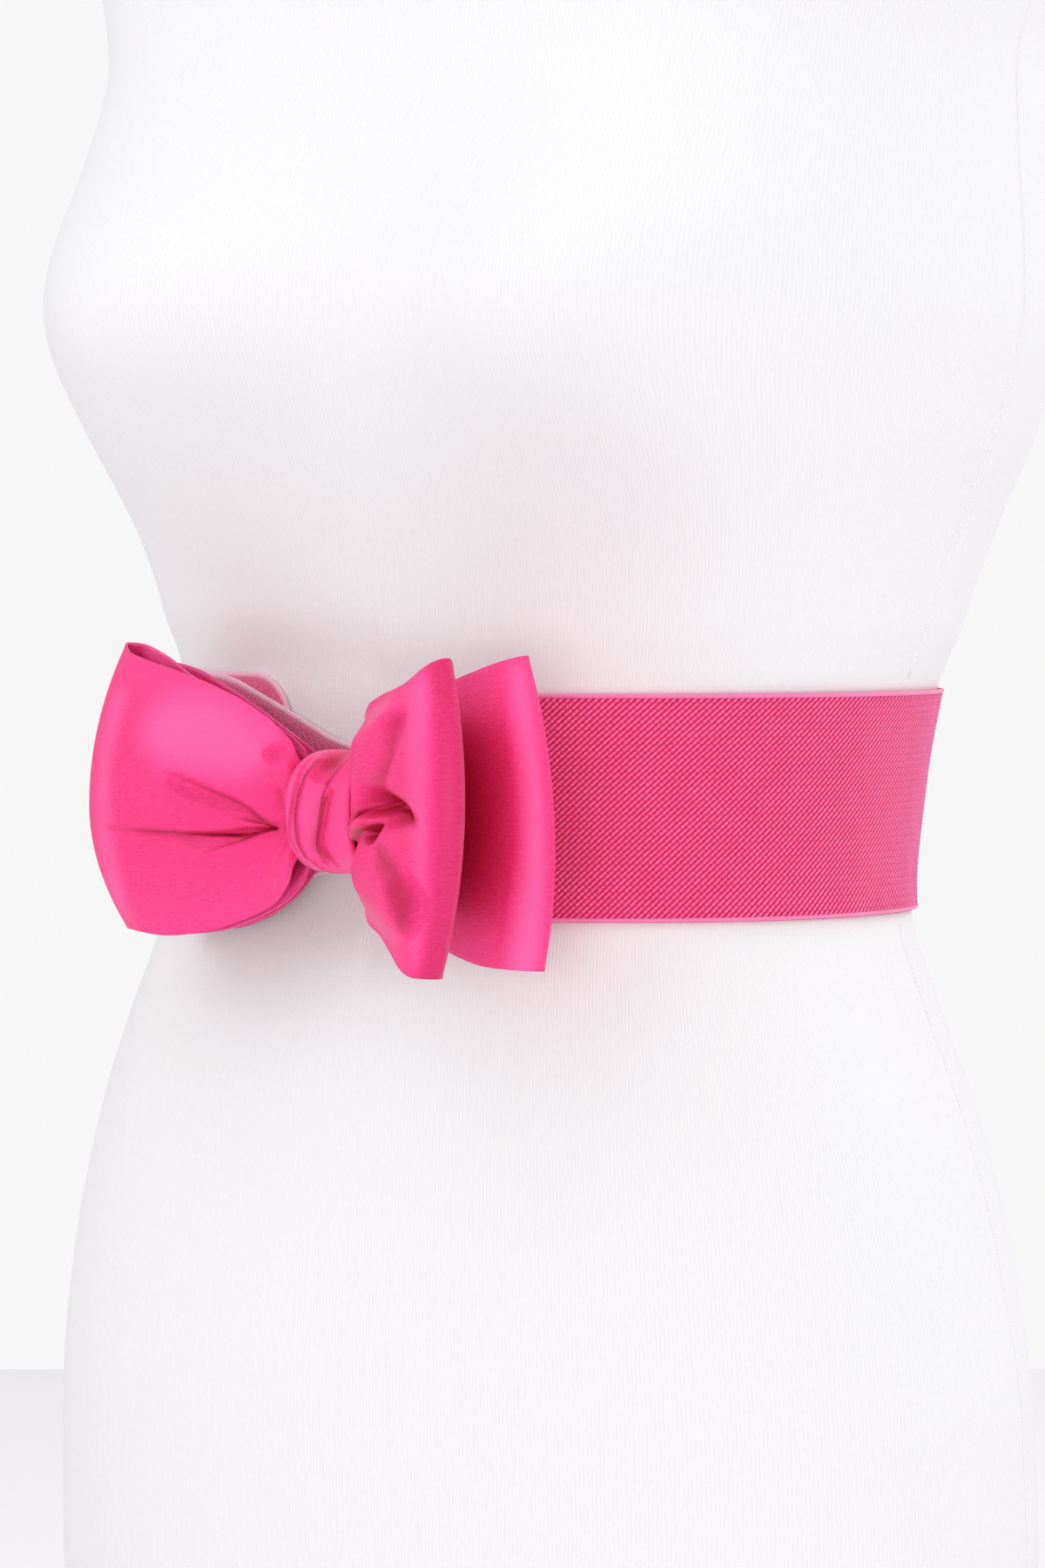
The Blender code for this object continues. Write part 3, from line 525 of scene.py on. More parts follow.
def beside_line(places, first, second):
    """Signed distance of points from a line of places, and the share of its length.

    The distance is positive where the second coordinate lies above the line.
    """
    places = np.array(places, dtype=float)
    lengths = np.hypot(*np.diff(places, axis=0).T)
    before = np.concatenate([[0.0], np.cumsum(lengths)])
    best = np.full(np.shape(first), 1e9)
    signed = np.zeros(np.shape(first))
    share = np.zeros(np.shape(first))
    for index, length in enumerate(lengths):
        start = places[index]
        run, rise = (places[index + 1] - start) / length
        along = np.clip((first - start[0]) * run + (second - start[1]) * rise,
                        0.0, length)
        aside_first = first - (start[0] + along * run)
        aside_second = second - (start[1] + along * rise)
        distance = np.hypot(aside_first, aside_second)
        nearer = distance < best
        side = np.where(aside_second * run - aside_first * rise >= 0.0, 1.0, -1.0)
        best = np.where(nearer, distance, best)
        signed = np.where(nearer, side * distance, signed)
        share = np.where(nearer, (before[index] + along) / before[-1], share)
    return signed, share


def inside_outline(places, first, second):
    """Distance of points from a closed outline, positive inside it."""
    places = smooth_line(places, closed=True)
    distance = np.abs(beside_line(places, first, second)[0])
    inside = np.zeros(np.shape(first), dtype=bool)
    for (low_first, low_second), (high_first, high_second) in zip(places, places[1:]):
        crosses = (low_second > second) != (high_second > second)
        if low_second != high_second:
            at = low_first + ((second - low_second) * (high_first - low_first)
                              / (high_second - low_second))
            inside ^= crosses & (first < at)
    return np.where(inside, distance, -distance)


def grid_normals(grid, around=False):
    """Unit normals of a grid of points, along (next row) x (next column)."""
    if around:
        wide = np.concatenate([grid[-1:], grid, grid[:1]])
        along = wide[2:] - wide[:-2]
    else:
        along = np.gradient(grid, axis=0)
    upward = np.gradient(grid, axis=1)
    normals = np.cross(along, upward)
    return normals / np.linalg.norm(normals, axis=-1, keepdims=True)


def flat_grid(along, across):
    """Flat places, along by row and across by column."""
    return np.stack(np.meshgrid(along, across, indexing="ij"), -1)


def running_length(points):
    """Length from the first point to each point of a line."""
    steps = np.linalg.norm(np.diff(points, axis=0), axis=-1)
    return np.concatenate([[0.0], np.cumsum(steps)])


# ---------------------------------------------------------------- mesh building
def add_object(name, data):
    """A new object in the scene."""
    item = bpy.data.objects.new(name, data)
    bpy.context.collection.objects.link(item)
    return item


def grid_quads(rows, columns, turned=False):
    """Row and column of each corner of a grid's quads."""
    row, column = np.meshgrid(np.arange(rows), np.arange(columns), indexing="ij")
    row_steps, column_steps = (0, 1, 1, 0), (0, 0, 1, 1)
    if turned:
        row_steps, column_steps = column_steps, row_steps
    return row.reshape(-1, 1) + row_steps, column.reshape(-1, 1) + column_steps


def make_mesh(name, points, faces, corner_uv, material):
    """A smooth mesh object from points in millimetres, with its own UV map."""
    mesh = bpy.data.meshes.new(name)
    mesh.from_pydata((points * MM).tolist(), [], [list(face) for face in faces])
    if corner_uv is not None:
        layer = mesh.uv_layers.new(name="cloth")
        layer.data.foreach_set("uv", (np.asarray(corner_uv) * MM).ravel())
    mesh.shade_smooth()
    mesh.materials.append(material)
    return add_object(name, mesh)


def make_shell(name, outer, inner, uv, material, around=False):
    """Close two matching grids into one wall; uv has one row more where around."""
    rows, columns = outer.shape[:2]
    last = rows if around else rows - 1
    parts = []

    def add(side, row, column, turned):
        corners = np.stack(np.broadcast_arrays(side, row, column), -1)
        parts.append(corners[:, ::-1] if turned else corners)

    row, column = grid_quads(last, columns - 1)
    add(0, row, column, False)
    add(1, row, column, True)
    side, row = grid_quads(1, last)
    add(side, row, 0, False)
    add(side, row, columns - 1, True)
    if not around:
        side, column = grid_quads(1, columns - 1)
        add(side, 0, column, True)
        add(side, rows - 1, column, False)
    side, row, column = np.moveaxis(np.concatenate(parts), -1, 0)
    faces = (side * rows + row % rows) * columns + column
    points = np.concatenate([outer.reshape(-1, 3), inner.reshape(-1, 3)])
    return make_mesh(name, points, faces, uv[row, column], material)


def make_tube(name, path, radius, outwards, squash, material):
    """A tube along a path, squashed to a share of its radius along outwards."""
    count = len(path)
    tangent = np.gradient(path, axis=0)
    tangent /= np.linalg.norm(tangent, axis=1, keepdims=True)
    side = np.cross(tangent, outwards)
    side /= np.linalg.norm(side, axis=1, keepdims=True)
    out = np.cross(side, tangent)
    turn = 2.0 * math.pi * np.arange(TUBE_SIDES)[None, :, None] / TUBE_SIDES
    radius = np.broadcast_to(radius, (count,))[:, None, None]
    ring = side[:, None] * np.cos(turn) + out[:, None] * np.sin(turn) * squash
    points = (path[:, None] + ring * radius).reshape(-1, 3)
    lengths = running_length(path)
    width = 2.0 * math.pi * float(np.mean(radius)) / TUBE_SIDES
    row, column = grid_quads(count - 1, TUBE_SIDES, turned=True)
    faces = (row * TUBE_SIDES + column % TUBE_SIDES).tolist()
    faces.append(list(range(TUBE_SIDES))[::-1])
    faces.append(list(range((count - 1) * TUBE_SIDES, count * TUBE_SIDES)))
    corner_uv = np.concatenate([
        np.stack([lengths[row], width * column], -1).reshape(-1, 2),
        np.zeros((TUBE_SIDES, 2)), np.tile([lengths[-1], 0.0], (TUBE_SIDES, 1))])
    return make_mesh(name, points, faces, corner_uv, material)


def settle(piece, slot, *nodes):
    """Ride on the body and stand for the given solids; the slot is not used."""
    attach(piece, BODY)
    if nodes:
        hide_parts(*nodes)


# ------------------------------------------------------------------- node trees
class Wire:
    """What a node gives; sums with it add maths nodes."""

    def __init__(self, tree, socket):
        self.tree, self.socket = tree, socket

    def __add__(self, other):
        return maths(self.tree, "ADD", self, other)

    def __sub__(self, other):
        return maths(self.tree, "SUBTRACT", self, other)

    def __rsub__(self, other):
        return maths(self.tree, "SUBTRACT", other, self)

    def __mul__(self, other):
        return maths(self.tree, "MULTIPLY", self, other)

    def __truediv__(self, other):
        return maths(self.tree, "DIVIDE", self, other)


def add_node(tree, kind, values=(), output=0, **settings):
    """Add a node, set its properties, set or link its inputs, and give an output."""
    item = tree.nodes.new(kind)
    for name, value in settings.items():
        setattr(item, name, value)
    for key, value in dict(values).items():
        if isinstance(value, Wire):
            tree.links.new(value.socket, item.inputs[key])
        else:
            item.inputs[key].default_value = value
    return Wire(tree, item.outputs[output])


def maths(tree, operation, first, second=0.0):
    """A maths node's result."""
    return add_node(tree, "ShaderNodeMath", {0: first, 1: second},
                    operation=operation)


def vector_maths(tree, operation, first, second, place=1):
    """A vector maths node's result."""
    return add_node(tree, "ShaderNodeVectorMath", {0: first, place: second},
                    operation=operation)


def scaled(vector, factor):
    """A vector times a number."""
    return vector_maths(vector.tree, "SCALE", vector, factor, 3)


def combine(tree, x=0.0, y=0.0, z=0.0):
    """A vector from its parts."""
    return add_node(tree, "ShaderNodeCombineXYZ", {0: x, 1: y, 2: z})


def parts_of(vector, count):
    """The first parts of a vector."""
    return [add_node(vector.tree, "ShaderNodeSeparateXYZ", {0: vector}, place)
            for place in range(count)]


def colour_mix(tree, factor, first, second):
    """A mix of two colours."""
    return add_node(tree, "ShaderNodeMix", {0: factor, 6: first, 7: second}, 2,
                    data_type="RGBA")


def noise(tree, vector, scale, detail=2.0):
    """Noise between about 0 and 1."""
    return add_node(tree, "ShaderNodeTexNoise",
                    {"Vector": vector, "Scale": scale, "Detail": detail})


def cloth_noise(tree, along, across, detail=2.0):
    """Noise on the cloth, with so many grains a metre along and across it."""
    return noise(tree, cloth_uv(tree, along, across), 1.0, detail)


def spread(tree, value, low, high, new_low=0.0, new_high=1.0):
    """Map a range of values onto another."""
    return add_node(tree, "ShaderNodeMapRange",
                    {0: value, 1: low, 2: high, 3: new_low, 4: new_high})


def named_value(tree, name):
    """An attribute of the piece."""
    return add_node(tree, "ShaderNodeAttribute", (), "Fac", attribute_name=name)


def rgba(colour, factor=1.0):
    """A colour with full alpha, made darker or lighter by a factor."""
    return (*(min(value * factor, 1.0) for value in colour), 1.0)


def start_material(name, roughness, **constants):
    """A new material and its tree, with constants on its shader's sockets."""
    material = bpy.data.materials.new(name)
    material.use_nodes = True
    shader = material.node_tree.nodes["Principled BSDF"]
    shader.inputs["Roughness"].default_value = roughness
    for key, value in constants.items():
        key = key.replace("_", " ").title().replace("Ior", "IOR")
        shader.inputs[key].default_value = value
    return material, material.node_tree


def finish_material(material, colour, height, depth, strength=1.0):
    """Link a colour, and a bump of the given depth in metres."""
    tree = material.node_tree
    shader = tree.nodes["Principled BSDF"]
    bump = add_node(tree, "ShaderNodeBump",
                    {"Strength": strength, "Distance": depth, "Height": height})
    tree.links.new(colour.socket, shader.inputs["Base Color"])
    tree.links.new(bump.socket, shader.inputs["Normal"])
    return material


def cloth_uv(tree, along=1.0, across=1.0):
    """The piece's own UV map, in metres, stretched along and across."""
    uv = add_node(tree, "ShaderNodeUVMap", uv_map="cloth")
    return vector_maths(tree, "MULTIPLY", uv, (along, across, 1.0))


def object_place(tree):
    """Object coordinates, which are the frame's own."""
    return add_node(tree, "ShaderNodeTexCoord", (), "Object")


def satin_material():
    """Duchess satin: fine threads along the ribbon, soft sheen, slight slubs."""
    colours = bpy.context.scene.belt_colours
    material, tree = start_material(
        "satin_ribbon", roughness=0.46, ior=1.7, specular_ior_level=0.5,
        specular_tint=(1.0, 0.28, 0.60, 1.0), sheen_weight=0.04,
        sheen_roughness=0.35, sheen_tint=(1.0, 0.70, 0.86, 1.0))
    threads = cloth_noise(tree, 480.0, 1900.0, 1.0)
    slubs = cloth_noise(tree, 420.0, 1000.0, 3.0)
    cross = cloth_noise(tree, 2600.0, 500.0, 1.0)
    lit = colour_mix(tree, spread(tree, threads * 0.6 + slubs * 0.4, 0.34, 0.66),
                     rgba(colours.satin_thread), rgba(colours.satin, 1.02))
    # Painted shade: ambient occlusion turns the satin towards its painted shade colour
    # in hollows and between the loops.
    open_part = add_node(tree, "ShaderNodeAmbientOcclusion",
                         {"Distance": PAINTED_SHADE_REACH}, "AO", samples=6)
    ao_painted_shade = spread(tree, open_part, PAINTED_SHADE_OPENNESS[1], PAINTED_SHADE_OPENNESS[0])
    # The stored attribute holds painted shade where positive and painted highlight
    # where negative.
    folded = named_value(tree, "painted_shade_and_highlight")
    # Painted highlight: where the stored value is negative, open places turn towards
    # the lighter satin colour.
    painted_highlight = (1.0 - ao_painted_shade) * maths(tree, "MAXIMUM", folded * -1.0, 0.0)
    lit = colour_mix(tree, painted_highlight, lit, rgba(colours.satin_painted_highlight))
    brightened = ao_painted_shade + maths(tree, "MINIMUM", folded, 0.0)
    colour = colour_mix(tree, maths(tree, "MAXIMUM", brightened, folded), lit,
                        rgba(colours.satin_painted_shade))
    return finish_material(material, colour, threads + cross * 0.6, depth=0.00016,
                           strength=0.55)


def elastic_ground_material():
    """The elastic's dark ground between its ribs."""
    ground = bpy.context.scene.belt_colours.elastic_ground
    material, tree = start_material(
        "elastic_ground", roughness=0.75, specular_ior_level=0.2, sheen_weight=0.1)
    grain = cloth_noise(tree, 1400.0, 1400.0)
    colour = colour_mix(tree, grain, rgba(ground, 0.7), rgba(ground, 1.2))
    return finish_material(material, colour, grain, depth=0.0003)


def elastic_rib_material():
    """The elastic's raised threads, brighter on each bead's crown and with painted
    shade in the necks between beads.
    """
    colours = bpy.context.scene.belt_colours
    material, tree = start_material(
        "elastic_ribs", roughness=0.55, specular_ior_level=0.3, sheen_weight=0.3,
        sheen_roughness=0.5, sheen_tint=(1.0, 0.75, 0.88, 1.0))
    place = object_place(tree)
    fibres = noise(tree, place, 2600.0, 1.0)
    patches = noise(tree, place, 160.0)
    # Painted shade in the necks between beads; the crowns keep the thread's colour.
    bright = named_value(tree, "crown") * spread(tree, fibres, 0.25, 0.75, 0.7, 1.15)
    bright *= spread(tree, patches, 0.3, 0.7, 0.85, 1.1)
    colour = colour_mix(tree, bright, rgba(colours.elastic_ground),
                        rgba(colours.elastic_thread))
    return finish_material(material, colour, fibres, depth=0.0001)


def binding_material(name, colour):
    """A soft folded binding, with fine ribs across it."""
    material, tree = start_material(
        name, roughness=0.6, specular_ior_level=0.3, sheen_weight=0.35,
        sheen_roughness=0.5)
    ribs = cloth_noise(tree, 2200.0, 300.0, 1.0)
    shade = ribs * 0.5 + cloth_noise(tree, 90.0, 60.0) * 0.5
    mixed = colour_mix(tree, spread(tree, shade, 0.3, 0.7), rgba(colour, 0.88),
                       rgba(colour, 1.05))
    return finish_material(material, mixed, ribs, depth=0.00018)


def web_material():
    """The tabs' napped web, mottled light on dark pink."""
    web = bpy.context.scene.belt_colours.web
    material, tree = start_material(
        "tab_web", roughness=0.8, specular_ior_level=0.1, sheen_weight=0.06,
        sheen_roughness=0.6, sheen_tint=(1.0, 0.55, 0.75, 1.0))
    cells = add_node(tree, "ShaderNodeTexVoronoi",
                     {"Vector": cloth_uv(tree, 620.0, 900.0), "Scale": 1.0})
    mottle = cloth_noise(tree, 800.0, 800.0, 3.0)
    shade = cells * spread(tree, mottle, 0.3, 0.7, 0.4, 1.4)
    colour = colour_mix(tree, spread(tree, shade, 0.1, 0.9), rgba(web, 0.72),
                        rgba(web, 1.45))
    return finish_material(material, colour, cells, depth=0.0005)


def thread_material():
    """Twisted sewing thread."""
    thread = bpy.context.scene.belt_colours.thread
    material, tree = start_material(
        "sewing_thread", roughness=0.5, specular_ior_level=0.4, sheen_weight=0.2)
    twist = noise(tree, object_place(tree), 3000.0, 1.0)
    colour = colour_mix(tree, twist, rgba(thread, 0.8), rgba(thread, 1.1))
    return finish_material(material, colour, twist, depth=0.0001)


def cover_material():
    """The form's white knitted cover: fine wales up the form, faint courses."""
    cover = bpy.context.scene.belt_colours.cover
    material, tree = start_material(
        "form_cover", roughness=0.88, specular_ior_level=0.15, sheen_weight=0.12,
        sheen_roughness=0.6)
    round_form, up_form = parts_of(cloth_uv(tree), 2)
    wander = cloth_noise(tree, 260.0, 60.0) * 2.5
    wales = maths(tree, "SINE", round_form * (2.0 * math.pi / WALE_WIDTH) + wander)
    courses = maths(tree, "SINE", up_form * (2.0 * math.pi / COURSE_HEIGHT))
    shade = wales * 0.42 + cloth_noise(tree, 900.0, 500.0, 3.0) * 0.9
    colour = colour_mix(tree, spread(tree, shade, -0.1, 0.95), rgba(cover, 0.955),
                        rgba(cover))
    return finish_material(material, colour, shade + courses * 0.03, depth=0.00012,
                           strength=0.6)


def floor_material():
    """A plain pale table top."""
    floor = bpy.context.scene.belt_colours.floor
    material, tree = start_material("table_top", roughness=0.9, specular_ior_level=0.1)
    grain = noise(tree, object_place(tree), 40.0, 3.0)
    colour = colour_mix(tree, grain, rgba(floor, 0.99), rgba(floor))
    return finish_material(material, colour, grain, depth=0.0001)


# --------------------------------------------------------------------- the form
def form_outline(height, angle):
    """The form's natural surface, angle 0 at the front and 90 on its left."""
    half_width, half_depth, back, power = read_table(FORM_LEVELS, height)
    side, front = np.sin(angle), np.cos(angle)
    radius = (np.abs(side / half_width) ** power
              + np.abs(front / half_depth) ** power) ** (-1.0 / power)
    x = radius * side
    y = back - radius * front
    vertical = bell(height - BUST_HEIGHT,
                    np.where(height > BUST_HEIGHT, BUST_RISE, BUST_DROP))
    shown = smooth_step(front * BUST_SPREAD)
    swell = sum(bell(x - apex, BUST_HALF_WIDTH) for apex in (-BUST_SIDE, BUST_SIDE))
    return x, y - BUST_FULLNESS * vertical * swell * shown


def form_surface(height, angle, out):
    """Points on the natural surface, moved out level by the given distance."""
    height, angle, out = np.broadcast_arrays(height, angle, out)
    step = math.radians(0.5)
    x, y = form_outline(height, angle)
    x_next, y_next = form_outline(height, angle + step)
    x_last, y_last = form_outline(height, angle - step)
    run = np.hypot(x_next - x_last, y_next - y_last)
    return np.stack([x + out * (y_next - y_last) / run,
                     y - out * (x_next - x_last) / run, height], -1)


def belt_middle(angle):
    """Height of the belt's middle, which rises towards the wearer's right front."""
    turn = np.degrees(angle) % 360.0
    return BELT_MIDDLE + BELT_RISE * smooth_step((turn - RISE_START) / RISE_RUN)


def angle_at_front(x, height):
    """Angle at which the front of the form reaches a given X."""
    x = np.asarray(x, dtype=float)
    low = np.full(x.shape, -math.pi / 2)
    high = np.full(x.shape, math.pi / 2)
    for _ in range(40):
        middle = (low + high) / 2
        before = form_outline(np.full(x.shape, height), middle)[0] < x
        low = np.where(before, middle, low)
        high = np.where(before, high, middle)
    return (low + high) / 2


def belt_press(from_middle):
    """How far the belt presses the cover, by the distance from the belt's middle."""
    from_belt = np.abs(from_middle) - BELT_WIDTH / 2
    return -FORM_PRESS * (1.0 - smooth_step(from_belt / COVER_FADE))


def make_cover():
    """The padded form in its knitted cover, pressed in by the belt."""
    levels = np.append(np.arange(0.0, FORM_TOP, COVER_STEP), FORM_TOP)
    angle = 2.0 * math.pi * np.arange(COVER_AROUND + 1) / COVER_AROUND
    level, turn = np.meshgrid(levels, angle[:-1], indexing="ij")
    beyond = np.abs(level - BELT_MIDDLE) - BELT_WIDTH / 2 - PRESS_FADE
    follow = 1.0 - smooth_step(beyond / FORM_FOLLOW)
    height = level + follow * (belt_middle(turn) - BELT_MIDDLE)
    out = belt_press(height - belt_middle(turn))
    for places, depth, half_width in COVER_DRAGS:
        aside, share = beside_line(places, np.degrees(turn) * DEGREE_RUN, height)
        out += (depth * bell(aside, half_width) * smooth_step(DRAG_ENDS[0] * share)
                * smooth_step(DRAG_ENDS[1] * (1.0 - share)))
    grid = form_surface(height, turn, out)
    for edge, inside in ((0, 1), (-1, -2)):
        centre = grid[edge, :, :2].mean(axis=0)
        reach = np.linalg.norm(grid[edge, :, :2] - centre, axis=1, keepdims=True)
        for row, part in ((edge, 1.0), (inside, NEXT_ROUNDING)):
            from_centre = (grid[row, :, :2] - centre) / reach
            grid[row, :, :2] -= from_centre * EDGE_ROUNDING * part
    rows, columns = grid.shape[:2]
    around = running_length(form_surface(BELT_MIDDLE, angle, 0.0))
    row, column = grid_quads(rows - 1, columns, turned=True)
    faces = (row * columns + column % columns).tolist()
    uv = np.stack([around[column], levels[row]], -1).reshape(-1, 2)
    points, caps = grid.reshape(-1, 3), []
    for row, step in ((0, -1), (rows - 1, 1)):
        centre = grid[row].mean(axis=0)
        rim = np.arange(columns) + row * columns
        for share in CAP_RINGS:
            fresh = np.arange(columns) + len(points)
            points = np.concatenate([points, centre + (grid[row] - centre) * share])
            quads = np.stack([rim, np.roll(rim, -1), np.roll(fresh, -1), fresh], 1)
            caps += quads[:, ::step].tolist()
            rim = fresh
        middle = np.full(columns, len(points))
        caps += np.stack([rim, np.roll(rim, -1), middle], 1)[:, ::step].tolist()
        points = np.concatenate([points, centre[None]])
    uv = np.concatenate([uv, points[np.concatenate(caps), :2]])
    material = cover_material()
    piece = make_mesh("form_cover", points, faces + caps, uv, material)
    settle(piece, "form_cover", "dress_form")
    make_side_seams(material)


def make_side_seams(material):
    """The cover's two side seams, each a low welt above and below the belt."""
    clear = BELT_WIDTH / 2 + SEAM_GAP
    for side, sign in (("left", 1.0), ("right", -1.0)):
        for part, degrees in SEAM_ANGLES:
            turn = math.radians(sign * degrees)
            middle = float(belt_middle(turn))
            low, high = ((SEAM_GAP, middle - clear) if part == "lower"
                         else (middle + clear, SEAM_TOP))
            height = np.linspace(low, high, int((high - low) / COVER_STEP) + 2)
            sunk = belt_press(height - middle)
            path = form_surface(height, turn, sunk + SEAM_LIFT)
            outwards = form_surface(height, turn, sunk + 1.0) - path
            from_end = np.minimum(height - low, high - height)
            taper = smooth_step(from_end / SEAM_TAPER + SEAM_END)
            welt = make_tube(f"form_seam_{side}_{part}", path, SEAM_RADIUS * taper,
                             outwards, SEAM_SQUASH, material)
            settle(welt, "form_cover")


# --------------------------------------------------------------- belt and tabs
def belt_grid(angle, middle, half, layer):
    """Points over the belt at each angle, with as many heights as the shares."""
    share = np.linspace(-1.0, 1.0, BAND_ACROSS + 1)[None, :]
    angle, middle, half = (np.asarray(value, dtype=float)[:, None]
                           for value in (angle, middle, half))
    return form_surface(middle + half * share, angle,
                        np.asarray(layer, dtype=float)[:, None] - FORM_PRESS)


def band_angles():
    """Angles of the elastic's rows of points, from seam to seam."""
    start = float(angle_at_front([BAND_START], BELT_MIDDLE)[0])
    end = float(angle_at_front([BAND_END], BELT_MIDDLE)[0]) + 2.0 * math.pi
    return np.linspace(start, end, BAND_ALONG + 1)


def make_band():
    """The elastic: its ground, its two selvedges and its diagonal ribs."""
    angle = band_angles()
    flat = np.ones(len(angle))
    middle = belt_middle(angle)
    half = flat * BELT_WIDTH / 2
    inner = belt_grid(angle, middle, half, flat * GAP)
    outer = belt_grid(angle, middle, half, flat * (GAP + BAND_BASE))
    length = running_length(outer[:, BAND_ACROSS // 2])
    across = np.linspace(0.0, BELT_WIDTH, BAND_ACROSS + 1)
    uv = flat_grid(length, across)
    base = make_shell("elastic_ground", outer, inner, uv, elastic_ground_material())
    settle(base, "elastic", "elastic_band")
    selvedge = binding_material("elastic_selvedge",
                                bpy.context.scene.belt_colours.selvedge)
    strips = []
    for name, place, radius in SELVEDGES:
        at = middle + place * (BELT_WIDTH / 2 - SELVEDGE_INSET)
        path = form_surface(at, angle, GAP + BAND_BASE + SELVEDGE_LIFT - FORM_PRESS)
        outwards = path - form_surface(at, angle, -FORM_PRESS)
        strips.append(make_tube(name, path, radius, outwards, SELVEDGE_SQUASH,
                                selvedge))
        settle(strips[-1], "elastic")
    ribs = make_ribs(outer, uv, float(length[-1]) * MM)


def make_ribs(outer, uv, length):
    """The ribs, worked flat by Geometry Nodes and then laid on the band."""
    sizes = bpy.context.scene.belt_sizes
    rows, columns = outer.shape[:2]
    row, column = grid_quads(rows - 1, columns - 1)
    material = elastic_rib_material()
    tree = rib_tree()
    pieces = []
    half = length / 2
    for name, start, end in (("elastic_ribs_left", 0.0, half),
                             ("elastic_ribs_right", half, length)):
        skin = make_mesh(name + "_skin", outer.reshape(-1, 3), row * columns + column,
                         uv[row, column], material)
        pieces.append(worked_mesh(name, skin, tree, {
            "Rib Spacing": sizes.rib_spacing, "Bead Length": sizes.bead_length,
            "Rib Width": sizes.rib_width, "Rib Height": sizes.rib_height,
            "Edge Margin": sizes.rib_margin, "Band Width": BELT_WIDTH * MM,
            "Start": start, "End": end, "Material": material}))
        settle(pieces[-1], "elastic")
    return pieces


def start_tree(name, numbers, whole_numbers=()):
    """A new Geometry Nodes tree with named inputs, and what each input gives."""
    tree = bpy.data.node_groups.new(name, "GeometryNodeTree")
    tree.interface.new_socket("Geometry", in_out="OUTPUT",
                              socket_type="NodeSocketGeometry")
    inputs = {"Geometry": "Geometry", **dict.fromkeys(numbers, "Float"),
              **dict.fromkeys(whole_numbers, "Int"), "Material": "Material"}
    for label, kind in inputs.items():
        tree.interface.new_socket(label, in_out="INPUT",
                                  socket_type="NodeSocket" + kind)
    given = tree.nodes.new("NodeGroupInput").outputs
    return tree, {label: Wire(tree, given[label]) for label in inputs}


def finish_tree(tree, shape, material):
    """End a tree in smooth real geometry with its material."""
    smooth = add_node(tree, "GeometryNodeSetShadeSmooth",
                      {"Geometry": shape, "Shade Smooth": True})
    real = add_node(tree, "GeometryNodeRealizeInstances", {0: smooth})
    dressed = add_node(tree, "GeometryNodeSetMaterial",
                       {"Geometry": real, "Material": material})
    tree.links.new(dressed.socket, tree.nodes.new("NodeGroupOutput").inputs[0])
    return tree


